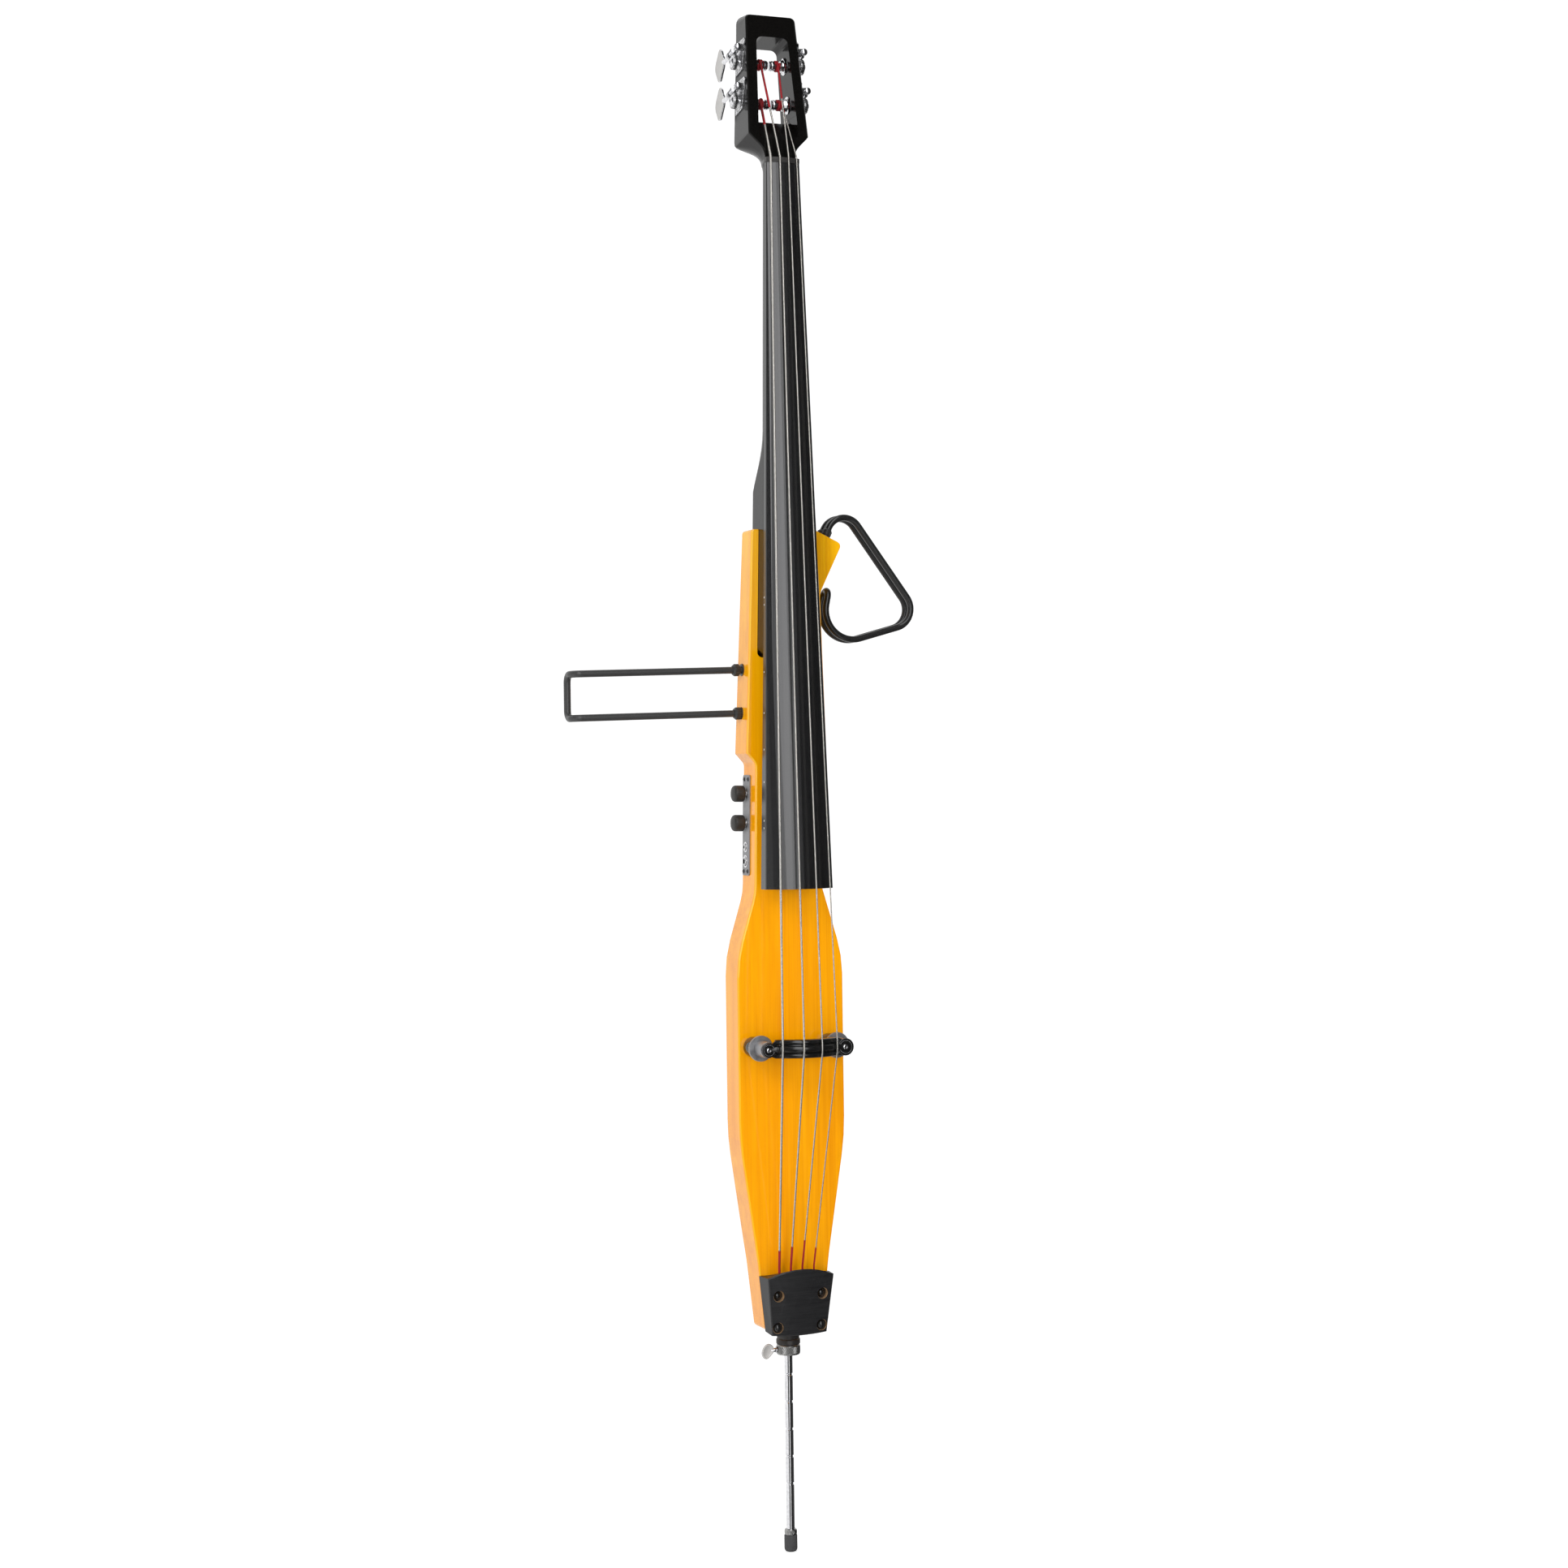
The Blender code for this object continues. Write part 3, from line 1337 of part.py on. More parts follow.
def tail_ring(outline, inset, sink):
    """The outline shrunk by a distance, lying a little below the block's bulging front."""
    ring = []
    middle = (TAIL_FOOT_Z + TAIL_TOP_Z) / 2
    tall = (TAIL_TOP_Z - TAIL_FOOT_Z) / 2
    for point in outline:
        x = point.x * (1 - inset / TAIL_TOP_HALF_WIDTH)
        z = middle + (point.y - middle) * (1 - inset / tall)
        across = x / TAIL_TOP_HALF_WIDTH
        height = tail_height(z) + TAIL_BULGE * (1 - across * across)
        ring.append((x, FRONT_Y - height + sink, z))
    return ring


def build_tail_block():
    foot = TAIL_FOOT_HALF_WIDTH
    top = TAIL_TOP_HALF_WIDTH
    rear = tail_outline(foot, TAIL_FOOT_Z, GAP, top, TAIL_TOP_Z, GAP)
    foot_z = TAIL_FOOT_Z - TAIL_UNDERCUT
    front = tail_outline(
        foot - TAIL_DRAFT, foot_z, TAIL_SAG, top - TAIL_DRAFT, TAIL_TOP_Z, TAIL_CROWN
    )
    rings = [[(point.x, FRONT_Y - GAP, point.y) for point in rear]]
    for inset, sink in ((0, TAIL_EDGE), (TAIL_EDGE, 0), (TAIL_TOP_HEIGHT, 0)):
        rings.append(tail_ring(front, inset, sink))
    mesh = loft(rings)
    cutters = []
    for number, radius in enumerate(STRING_RADII):
        x = string_x(TAIL_SPACING, number, TAIL_STRING_SHIFT)
        channel = radius + CHANNEL_GAP
        deep = FRONT_Y - TAIL_STRING_HEIGHT - channel
        end = (x + channel, FRONT_Y + MARGIN, TAIL_TOP_Z + 2 * TAIL_CROWN)
        cutters.append(box((x - channel, deep, BALL_Z), end))
        room = BALL_RADIUS + CHANNEL_GAP
        far = FRONT_Y - TAIL_STRING_HEIGHT - room
        end = (x + room, FRONT_Y + MARGIN, BALL_Z + room)
        cutters.append(box((x - room, far, BALL_Z - room), end))
    reach = TAIL_TOP_HEIGHT + TAIL_BULGE + MARGIN
    for x in (-TAIL_SCREW_X, TAIL_SCREW_X):
        for z in TAIL_SCREW_Z:
            out = (x, FRONT_Y - reach, z)
            seat = (x, FRONT_Y - TAIL_SEAT_HEIGHT, z)
            cutters.append(cylinder_between(TAIL_COUNTERBORE, 14, out, seat))
            end = (x, FRONT_Y + MARGIN, z)
            cutters.append(cylinder_between(TAIL_SCREW_SHANK + GAP, 12, out, end))
    add("tail_block", cut(mesh, *cutters), black_metal())


def build_tail_screws():
    number = 0
    for z in reversed(TAIL_SCREW_Z):
        for x in (-TAIL_SCREW_X, TAIL_SCREW_X):
            number += 1
            seat = FRONT_Y - TAIL_SEAT_HEIGHT - GAP
            reach = TAIL_SEAT_HEIGHT + GAP + TAIL_SCREW_DEPTH
            profile = (
                (0, -reach),
                (TAIL_SCREW_SHANK, -reach + 0.002),
                (TAIL_SCREW_SHANK, 0),
                (TAIL_SCREW_HEAD, 0),
                (TAIL_SCREW_HEAD * 0.92, 0.0016),
                (TAIL_SCREW_HEAD * 0.55, 0.0030),
                (0.0015, 0.0032),
                (0.0015, 0.0016),
                (0, 0.0016),
            )
            mesh = axis_turned(profile, 12, (x, seat, z), (0, -1, 0))
            add(f"tail_screw_{number}", mesh, chrome())


# Spike


def build_spike():
    steps = [(0, 0.006), (SPIKE_RADIUS - 0.001, 0.006), (SPIKE_RADIUS, 0.007)]
    for number in reversed(range(SPIKE_GROOVES)):
        z = SPIKE_GROOVE_TOP_Z - number * SPIKE_GROOVE_PITCH
        groove = SPIKE_RADIUS - 0.0009
        steps += [(SPIKE_RADIUS, z - 0.0014), (groove, z - 0.0007)]
        steps += [(groove, z + 0.0007), (SPIKE_RADIUS, z + 0.0014)]
    steps += [(SPIKE_RADIUS, SPIKE_TOP_Z - 0.001), (SPIKE_RADIUS - 0.001, SPIKE_TOP_Z), (0, SPIKE_TOP_Z)]
    add("endpin_rod", turned(steps, 12), chrome())

    bore = SPIKE_RADIUS + GAP
    tip = (
        (0, 0),
        (TIP_RADIUS - 0.0012, 0),
        (TIP_RADIUS, 0.0012),
        (TIP_RADIUS, TIP_HEIGHT - 0.001),
        (TIP_RADIUS - 0.001, TIP_HEIGHT),
        (bore, TIP_HEIGHT),
        (bore, 0.006 - GAP),
        (0, 0.006 - GAP),
    )
    add("rubber_tip", turned(tip, 16), rubber())
    ferrule = (
        (bore, TIP_HEIGHT + GAP),
        (FERRULE_RADIUS, TIP_HEIGHT + GAP),
        (FERRULE_RADIUS, FERRULE_TOP_Z - 0.001),
        (FERRULE_RADIUS - 0.001, FERRULE_TOP_Z),
        (bore, FERRULE_TOP_Z),
    )
    add("endpin_ferrule", turned(ferrule, 16), chrome())


def build_plug_and_collar():
    bore = SPIKE_RADIUS + SLIDE_GAP
    plug = (
        (bore, PLUG_FOOT_Z + GAP),
        (PLUG_FLANGE_RADIUS, PLUG_FOOT_Z + GAP),
        (PLUG_FLANGE_RADIUS, PLUG_FLANGE_Z),
        (PLUG_RADIUS, PLUG_FLANGE_Z + 0.0005),
        (PLUG_RADIUS, BODY_FOOT_Z - GAP),
        (PLUG_SLEEVE_RADIUS, BODY_FOOT_Z - GAP),
        (PLUG_SLEEVE_RADIUS, BODY_FOOT_Z + PLUG_SLEEVE_LENGTH),
        (bore, BODY_FOOT_Z + PLUG_SLEEVE_LENGTH),
    )
    add("endpin_plug", turned(plug, 20), black_plastic())
    collar = (
        (bore, COLLAR_FOOT_Z),
        (COLLAR_RADIUS - 0.0008, COLLAR_FOOT_Z),
        (COLLAR_RADIUS, COLLAR_FOOT_Z + 0.0008),
        (COLLAR_RADIUS, PLUG_FOOT_Z - 0.0008),
        (COLLAR_RADIUS - 0.0008, PLUG_FOOT_Z),
        (bore, PLUG_FOOT_Z),
    )
    middle = (COLLAR_FOOT_Z + PLUG_FOOT_Z) / 2
    out = (-COLLAR_RADIUS - MARGIN, 0, middle)
    hole = cylinder_between(THUMB_SHANK_RADIUS + SLIDE_GAP, 12, out, (0, 0, middle))
    add("endpin_collar", cut(turned(collar, 20), hole), chrome())


def build_thumb_screw():
    middle = (COLLAR_FOOT_Z + PLUG_FOOT_Z) / 2
    far = THUMB_START_X + THUMB_LENGTH
    wing = fillet_path(
        (
            (-far, middle - THUMB_HEIGHT / 2, 0.004),
            (-THUMB_START_X - 0.002, middle - THUMB_HEIGHT * 0.30, 0.002),
            (-THUMB_START_X, middle, 0),
            (-THUMB_START_X - 0.002, middle + THUMB_HEIGHT * 0.30, 0.002),
            (-far, middle + THUMB_HEIGHT / 2, 0.004),
        )
    )
    blade = prism(wing, "XZ", -0.0013, 0.0013)
    shank_start = SPIKE_RADIUS + SLIDE_GAP
    shank = cylinder_between(
        THUMB_SHANK_RADIUS, 12, (-shank_start, 0, middle), (-THUMB_START_X - 0.004, 0, middle)
    )
    collar_out = COLLAR_RADIUS + GAP
    shoulder = cylinder_between(0.0042, 14, (-collar_out, 0, middle), (-THUMB_START_X - 0.003, 0, middle))
    add("thumb_screw", joined(blade, shank, shoulder), chrome(), (-THUMB_START_X, 0, middle))


# Controls


def control_place(x, z):
    """A point over the panel's middle line, x out of the flank being negative."""
    return Vector((x, 0, z - control_middle_z()))


def build_control_plate():
    half = PANEL_WIDTH / 2
    tall = (PANEL_TOP_Z - PANEL_FOOT_Z) / 2
    corners = ((-half, -tall), (half, -tall), (half, tall), (-half, tall))
    outline = fillet_path([(*corner, PANEL_CORNER) for corner in corners])
    mesh = prism(outline, "YZ", -GAP - PANEL_THICKNESS, -GAP)
    holes = [
        (KNOB_Z[0], KNOB_SHAFT_RADIUS + SLIDE_GAP),
        (KNOB_Z[1], KNOB_SHAFT_RADIUS + SLIDE_GAP),
        (OUTPUT_JACK_Z, OUTPUT_JACK_BORE + JACK_WALL + GAP),
        (PHONES_JACK_Z, PHONES_JACK_BORE + JACK_WALL + GAP),
    ]
    cutters = []
    for z, radius in holes:
        start = control_place(-MARGIN, z)
        cutters.append(cylinder_between(radius, 16, start, control_place(MARGIN, z)))
    mesh = moved(cut(mesh, *cutters), control_frame())
    add("control_plate", mesh, material("grey panel", (0.13, 0.13, 0.14), 0.45, 0.4))


def build_knobs():
    frame = control_frame()
    for name, z in zip(("volume_knob", "tone_knob"), reversed(KNOB_Z)):
        start = control_place(-GAP - PANEL_THICKNESS - KNOB_LIFT, z)
        shaft = KNOB_LIFT + PANEL_THICKNESS + BOARD_INSET
        profile = (
            (0, -shaft),
            (KNOB_SHAFT_RADIUS, -shaft),
            (KNOB_SHAFT_RADIUS, 0),
            (KNOB_RADIUS - 0.0008, 0),
            (KNOB_RADIUS, 0.0008),
            (KNOB_RADIUS, KNOB_LENGTH - 0.0035),
            (KNOB_RADIUS * 0.86, KNOB_LENGTH - 0.0014),
            (KNOB_RADIUS * 0.55, KNOB_LENGTH - 0.0004),
            (0, KNOB_LENGTH),
        )
        mesh = axis_turned(profile, 20, start, (-1, 0, 0))
        add(name, moved(mesh, frame), black_plastic(), frame @ start)


def build_jacks():
    sizes = (
        ("output_jack", OUTPUT_JACK_Z, OUTPUT_JACK_BORE, OUTPUT_JACK_DEPTH),
        ("headphone_jack", PHONES_JACK_Z, PHONES_JACK_BORE, PHONES_JACK_DEPTH),
    )
    behind = -PANEL_THICKNESS - 2 * GAP - 0.001
    for name, z, bore, depth in sizes:
        outer = bore + JACK_WALL
        face = control_place(-2 * GAP - PANEL_THICKNESS, z)
        profile = (
            (0, -depth + 0.002),
            (bore, -depth + 0.002),
            (bore, 0.0022),
            (outer, 0.0022),
            (outer + 0.0012, 0.0016),
            (outer + 0.0012, 0),
            (outer, 0),
            (outer, behind),
            (outer + 0.0006, behind - 0.001),
            (outer + 0.0006, -depth),
            (0, -depth),
        )
        mesh = axis_turned(profile, 14, face, (-1, 0, 0))
        add(name, moved(mesh, control_frame()), chrome())


def build_electronics():
    """The preamp board with its two pots, and the battery beside it."""
    board_x = CAVITY_BASS_X + BOARD_INSET
    low = (board_x, PANEL_Y - BOARD_WIDTH / 2, KNOB_Z[0] - 0.011)
    high = (board_x + BOARD_THICKNESS, PANEL_Y + BOARD_WIDTH / 2, KNOB_Z[1] + 0.010)
    board = box(low, high)
    pots = []
    for z in KNOB_Z:
        end = (board_x + BOARD_THICKNESS / 2, PANEL_Y, z)
        pots.append(cylinder_between(POT_RADIUS, 16, (board_x - POT_HEIGHT, PANEL_Y, z), end))
    add("preamp_board", joined(board, *pots), material("circuit board", (0.02, 0.16, 0.06), 0.5))
    foot = PANEL_FOOT_Z + CAVITY_MARGIN + 0.010
    low = (CAVITY_TREBLE_X - 0.028, CAVITY_FRONT_Y + 0.001, foot)
    high = (CAVITY_TREBLE_X - 0.0015, CAVITY_FRONT_Y + 0.0185, foot + 0.0485)
    battery = bevelled(box(low, high), 0.0012, 2, 60)
    add("battery", battery, material("battery case", (0.10, 0.10, 0.11), 0.35, 0.5))


def build_back_cover():
    mesh = prism(cover_outline(COVER_LIP), "XZ", BACK_Y - COVER_THICKNESS, BACK_Y)
    add("back_cover", mesh, black_plastic())


# Bridge


def build_bridge_studs():
    for side, x in (("bass", -STUD_X), ("treble", STUD_X)):
        base = FRONT_Y - GAP
        top = BOSS_BACK_HEIGHT - BRIDGE_DROP - 0.004
        profile = (
            (0, -STUD_DEPTH - GAP),
            (STUD_THREAD_RADIUS, -STUD_DEPTH - GAP),
            (STUD_THREAD_RADIUS, 0),
            (STUD_BASE_RADIUS, 0),
            (STUD_BASE_RADIUS, STUD_BASE_HEIGHT - 0.001),
            (STUD_BASE_RADIUS - 0.001, STUD_BASE_HEIGHT),
            (STUD_THREAD_RADIUS, STUD_BASE_HEIGHT),
            (STUD_THREAD_RADIUS, top),
            (0, top),
        )
        mesh = axis_turned(profile, 16, (x, base, BRIDGE_Z), (0, -1, 0))
        add(f"bridge_stud_{side}", mesh, black_metal())


def build_bridge_wheels():
    for side, x in (("bass", -STUD_X), ("treble", STUD_X)):
        bore = STUD_THREAD_RADIUS + SLIDE_GAP
        thick = BRIDGE_WHEEL_THICKNESS
        hub_end = BOSS_BACK_HEIGHT - WHEEL_HEIGHT - GAP
        profile = (
            (bore, 0),
            (BRIDGE_WHEEL_RADIUS - 0.0006, 0),
            (BRIDGE_WHEEL_RADIUS, 0.0006),
            (BRIDGE_WHEEL_RADIUS, thick - 0.0006),
            (BRIDGE_WHEEL_RADIUS - 0.0006, thick),
            (BRIDGE_WHEEL_HUB, thick + 0.0002),
            (BRIDGE_WHEEL_HUB, hub_end),
            (bore, hub_end),
        )
        start = (x, FRONT_Y - WHEEL_HEIGHT, BRIDGE_Z)
        mesh = axis_turned(profile, 20, start, (0, -1, 0))
        add(f"bridge_wheel_{side}", mesh, chrome(), start)


def beam_crown_height(x):
    """Height of the beam's crest over the body, just under the strings."""
    inner = BRIDGE_SPACING / 2
    outer = BRIDGE_SPACING * 1.5
    low = OUTER_BRIDGE_HEIGHT - STRING_RADII[0] - BEAM_GAP
    high = INNER_BRIDGE_HEIGHT - STRING_RADII[1] - BEAM_GAP
    curve = (high - low) / (outer ** 2 - inner ** 2)
    across = x - BRIDGE_STRING_SHIFT
    return max(high + curve * (inner ** 2 - across ** 2), BOSS_FRONT_HEIGHT + 0.0015)


def beam_section(x):
    """A section across the beam: a crest between two lower rails."""
    crest = beam_crown_height(x)
    rail = crest - 0.0025
    under = max(crest - BEAM_DEPTH, BEAM_UNDER_HEIGHT)
    half = BEAM_WIDTH / 2
    places = (
        (-half, under + 0.002),
        (-half, rail - 0.0015),
        (-half + 0.0015, rail),
        (-half * 0.55, rail),
        (-half * 0.42, rail - 0.0015),
        (-half * 0.22, crest - 0.0005),
        (0, crest),
        (half * 0.22, crest - 0.0005),
        (half * 0.42, rail - 0.0015),
        (half * 0.55, rail),
        (half - 0.0015, rail),
        (half, rail - 0.0015),
        (half, under + 0.002),
        (half - 0.002, under),
        (-half + 0.002, under),
    )
    middle = BRIDGE_Z + BEAM_LIFT
    return [(x, FRONT_Y - height, middle + z) for z, height in places]


def build_bridge_beam():
    edge = BEAM_HALF_LENGTH
    columns = 12
    mesh = loft([beam_section(edge * (2 * column / columns - 1)) for column in range(columns + 1)])
    bosses = []
    bores = []
    for x, radius in zip((-STUD_X, STUD_X), BOSS_RADIUS):
        back = (x, FRONT_Y - BOSS_BACK_HEIGHT, BRIDGE_Z)
        front = (x, FRONT_Y - BOSS_FRONT_HEIGHT, BRIDGE_Z)
        arm = box(
            (edge - 0.003, FRONT_Y - BOSS_FRONT_HEIGHT, BRIDGE_Z - radius * 0.93),
            (STUD_X, FRONT_Y - BOSS_BACK_HEIGHT, BRIDGE_Z + radius * 0.93),
        )
        arm = moved(arm, Matrix.Scale(math.copysign(1, x), 4, (1, 0, 0)))
        bosses.append(joined(cylinder_between(radius, 20, back, front), arm))
        shank = BRIDGE_BOLT_HEAD * 0.6 + GAP
        seat = (x, FRONT_Y - BOSS_BACK_HEIGHT - 0.002, BRIDGE_Z)
        profile = (
            (0, -0.03),
            (shank, -0.03),
            (shank, 0),
            (BRIDGE_BOLT_HEAD + 0.0018, 0),
            (BRIDGE_BOLT_HEAD + 0.0018, 0.02),
            (0, 0.02),
        )
        bores.append(axis_turned(profile, 16, seat, (0, -1, 0)))
    mesh = joined(mesh, *bosses)
    gloss = material("black bridge", (0.02, 0.02, 0.02), 0.22, 0.3)
    add("bridge_beam", cut(mesh, *bores, pickup_box(GAP)), gloss)


def pickup_box(extra):
    half = BRIDGE_SPACING * 0.7 + extra
    deep = FRONT_Y - beam_crown_height(0) + BEAM_DEPTH - 0.005
    low = (-half, deep - extra, BRIDGE_Z - 0.002 - extra)
    high = (half, deep + PICKUP_THICKNESS + (0.02 if extra else 0), BRIDGE_Z + 0.002 + extra)
    return box(low, high)


def build_bridge_hardware():
    for side, x in (("bass", -STUD_X), ("treble", STUD_X)):
        seat = FRONT_Y - BOSS_BACK_HEIGHT - 0.002 - GAP
        reach = 0.0045
        profile = (
            (0, -reach),
            (BRIDGE_BOLT_HEAD * 0.6, -reach),
            (BRIDGE_BOLT_HEAD * 0.6, 0),
            (BRIDGE_BOLT_HEAD, 0),
            (BRIDGE_BOLT_HEAD, 0.0016),
            (BRIDGE_BOLT_HEAD - 0.0005, 0.0022),
            (0.0016, 0.0022),
            (0.0016, 0.0008),
            (0, 0.0008),
        )
        add(f"bridge_bolt_{side}", axis_turned(profile, 10, (x, seat, BRIDGE_Z), (0, -1, 0)), chrome())
    add("bridge_pickup", pickup_box(0), material("pickup strip", (0.55, 0.42, 0.18), 0.4, 0.8))


# Left brace and body rest


def build_brace():
    feet = brace_feet()
    outward = brace_axis()
    across = Vector((0, 1, 0))
    far = [foot + outward * (BRACE_REACH + foot.x) for foot in feet]
    corners = [
        (*(feet[0] - outward * BRACE_INSERTED), 0),
        (*far[0], BRACE_BEND),
        (*(far[0] + across * BRACE_BACK), BRACE_BEND),
        (*(far[1] + across * BRACE_BACK), BRACE_BEND),
        (*far[1], BRACE_BEND),
        (*(feet[1] - outward * BRACE_INSERTED), 0),
    ]
    points = fillet_path(corners, 3)
    add_rod("left_brace", points, BRACE_RADIUS, black_metal(), feet[0], 2)
    for name, foot, loose in zip(("upper", "lower"), feet, (BRACE_NUT_LOOSE, 0.0)):
        add(f"brace_socket_{name}", brace_socket(foot, outward), black_metal())
        start = foot + outward * (NUT_SEAT + loose)
        add(f"brace_nut_{name}", brace_nut(start, outward), black_metal(), start)


def brace_socket(foot, outward):
    """A sleeve in the flank, with a thin flange outside."""
    bore = BRACE_RADIUS + SLIDE_GAP
    rim = NUT_SEAT - GAP
    profile = (
        (bore, -BRACE_SOCKET_DEPTH),
        (BRACE_SOCKET_RADIUS, -BRACE_SOCKET_DEPTH),
        (BRACE_SOCKET_RADIUS, rim),
        (bore, rim),
    )
    return axis_turned(profile, 12, foot, outward)


def brace_nut(start, outward):
    bore = BRACE_RADIUS + SLIDE_GAP
    length = BRACE_NUT_LENGTH
    profile = (
        (bore, 0),
        (BRACE_NUT_RADIUS - 0.0006, 0),
        (BRACE_NUT_RADIUS, 0.0006),
        (BRACE_NUT_RADIUS, length - 0.003),
        (BRACE_NUT_RADIUS - 0.0018, length),
        (bore, length),
    )
    return axis_turned(profile, 14, start, outward)


def build_rest():
    outward = rest_axis()
    rows = rest_rows()
    middle = Vector((REST_FOOT_X, 0, rest_foot_z()))
    start = middle - outward * REST_INSERTED
    crook = middle + outward * REST_RISE
    flat = [(start.x, start.z, 0), (crook.x, crook.z, REST_CROOK), *REST_CORNERS, (*REST_END, 0)]
    side = fillet_path(flat)
    front = [Vector((point.x, rows[0], point.y)) for point in side]
    back = [Vector((point.x, rows[1], point.y)) for point in side]
    heading = (front[-1] - front[-2]).normalized()
    loop = []
    steps = 8
    for step in range(1, steps):
        angle = math.pi * step / steps
        offset = heading * math.sin(angle) * REST_SPREAD / 2
        shift = Vector((0, (1 - math.cos(angle)) * REST_SPREAD / 2, 0))
        loop.append(front[-1] + offset + shift)
    add_rod("body_rest", front + loop + back[::-1], REST_RADIUS, black_metal(), rest_feet()[0], 2)
    for name, foot in zip(("front", "back"), rest_feet()):
        add(f"rest_socket_{name}", rest_socket(foot, outward), black_metal())
        begin = foot + outward * NUT_SEAT
        add(f"rest_nut_{name}", rest_nut(begin, outward), black_metal(), begin)


def rest_socket(foot, outward):
    bore = REST_RADIUS + SLIDE_GAP
    rim = NUT_SEAT - GAP
    profile = (
        (bore, -REST_SOCKET_DEPTH),
        (REST_SOCKET_RADIUS, -REST_SOCKET_DEPTH),
        (REST_SOCKET_RADIUS, rim),
        (bore, rim),
    )
    return axis_turned(profile, 12, foot, outward)


def rest_nut(start, outward):
    bore = REST_RADIUS + SLIDE_GAP
    length = REST_NUT_LENGTH
    profile = (
        (bore, 0),
        (REST_NUT_RADIUS - 0.0005, 0),
        (REST_NUT_RADIUS, 0.0005),
        (REST_NUT_RADIUS, length - 0.0012),
        (REST_NUT_RADIUS - 0.0010, length),
        (bore, length),
    )
    return axis_turned(profile, 14, start, outward)


clear_scene()
build_body()
build_neck()
build_neck_bolts()
build_truss_rod()
build_fingerboard()
build_nut()
build_tuners()
build_strings()
build_tail_block()
build_tail_screws()
build_spike()
build_plug_and_collar()
build_thumb_screw()
build_control_plate()
build_knobs()
build_jacks()
build_electronics()
build_back_cover()
build_bridge_studs()
build_bridge_wheels()
build_bridge_beam()
build_bridge_hardware()
build_brace()
build_rest()
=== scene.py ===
"""Looks of the electric double bass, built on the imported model."""

import json
import math

import bmesh
import bpy
from mathutils import Matrix, Vector


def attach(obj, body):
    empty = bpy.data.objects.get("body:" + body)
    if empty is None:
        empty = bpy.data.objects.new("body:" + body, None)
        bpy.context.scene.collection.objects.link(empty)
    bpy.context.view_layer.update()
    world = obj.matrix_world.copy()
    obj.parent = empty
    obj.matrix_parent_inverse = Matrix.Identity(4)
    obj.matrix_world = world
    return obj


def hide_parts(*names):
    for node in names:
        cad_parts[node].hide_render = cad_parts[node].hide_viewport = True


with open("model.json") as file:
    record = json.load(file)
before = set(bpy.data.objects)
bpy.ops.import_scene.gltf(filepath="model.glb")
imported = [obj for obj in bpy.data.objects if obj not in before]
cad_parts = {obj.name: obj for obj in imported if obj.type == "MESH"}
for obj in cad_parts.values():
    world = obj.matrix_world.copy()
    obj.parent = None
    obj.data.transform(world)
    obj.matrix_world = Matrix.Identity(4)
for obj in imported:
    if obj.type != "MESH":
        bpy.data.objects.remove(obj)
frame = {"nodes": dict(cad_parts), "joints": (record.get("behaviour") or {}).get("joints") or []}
nodes = frame["nodes"]
joints = {joint["name"]: joint for joint in frame["joints"]}
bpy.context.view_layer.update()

# Sizes that the model's pieces have
GAP = 0.0003
SLIDE_GAP = 0.0005
FRONT_Y = -0.022
STRING_NAMES = ("e", "a", "d", "g")
STRING_RADII = (0.00135, 0.00115, 0.00095, 0.0008)
BRIDGE_Z = 0.6115
SCALE_LENGTH = 1.060
NUT_Z = BRIDGE_Z + SCALE_LENGTH
BRIDGE_SPACING = 0.023
BRIDGE_STRING_SHIFT = 0.0011
NUT_SPACING = 0.0111
TAIL_SPACING = 0.0148
TAIL_STRING_SHIFT = 0.0005
TAIL_STRING_HEIGHT = 0.0083
TAIL_BALL_Z = 0.3275
TAIL_EDGE_Z = 0.3473
OUTER_BRIDGE_HEIGHT = 0.0610
INNER_BRIDGE_HEIGHT = 0.0710
NUT_LIFT = 0.0008
NUT_HALF_WIDTH = 0.0211
BOARD_END_Z = 0.7997
BOARD_END_HALF_WIDTH = 0.0428
BOARD_NUT_EDGE_Y = -0.0347
BOARD_END_EDGE_Y = -0.0579
BOARD_RADIUS = 0.065

# Silk on the strings' ends: the heights between which the winding is bare
SILK_LOW_Z = (0.3686, 0.3726, 0.3795, 0.3692)
SILK_HIGH_Z = (1.7142, 1.7351, 1.7482, 1.7330)
SILK_THICKNESS = 0.00025
COIL_RADII = (0.00135, 0.0013, 0.0012, 0.0012)

# Tuners, in a frame whose x points out of the cheek, y backwards and z up the head
POST_RADIUS = 0.0044
POST_TIP_X = 0.0012
POST_WIND_X = (0.0138, 0.0115)
COIL_REACH = (0.0076, 0.0152)
WIND_START = math.radians(20)
CHEEK = 0.0130
WORM_STANDOFF = 0.0090
WORM_PITCH = 0.0028
WORM_TURNS = 4
WORM_ROOT = 0.0032
WORM_TIP = 0.0046
WHEEL_TEETH = 20
WHEEL_TIP = 0.0094
WHEEL_ROOT = 0.0082
WHEEL_THICKNESS = 0.0050
EAR_FRONT = -0.0160
EAR_BACK = 0.0150
SHAFT_RADIUS = 0.0025
SHAFT_CAP_RADIUS = 0.0034
KEY_START = 0.0325
KEY_LENGTH = 0.0308
KEY_HEIGHT = 0.0408
KEY_RISE = 0.0017
KEY_LEAN = math.radians(8)
KEY_THICKNESS = 0.0028
KEY_ROOT = 0.0078
KEY_LOBE = 0.09
PLATE_FACE = 0.0016
PLATE_OUTLINE = (
    (-0.0200, 0.0210),
    (-0.0166, 0.0153),
    (-0.0131, 0.0047),
    (-0.0072, -0.0112),
    (0.0164, -0.0118),
    (0.0147, 0.0279),
    (-0.0163, 0.0252),
)
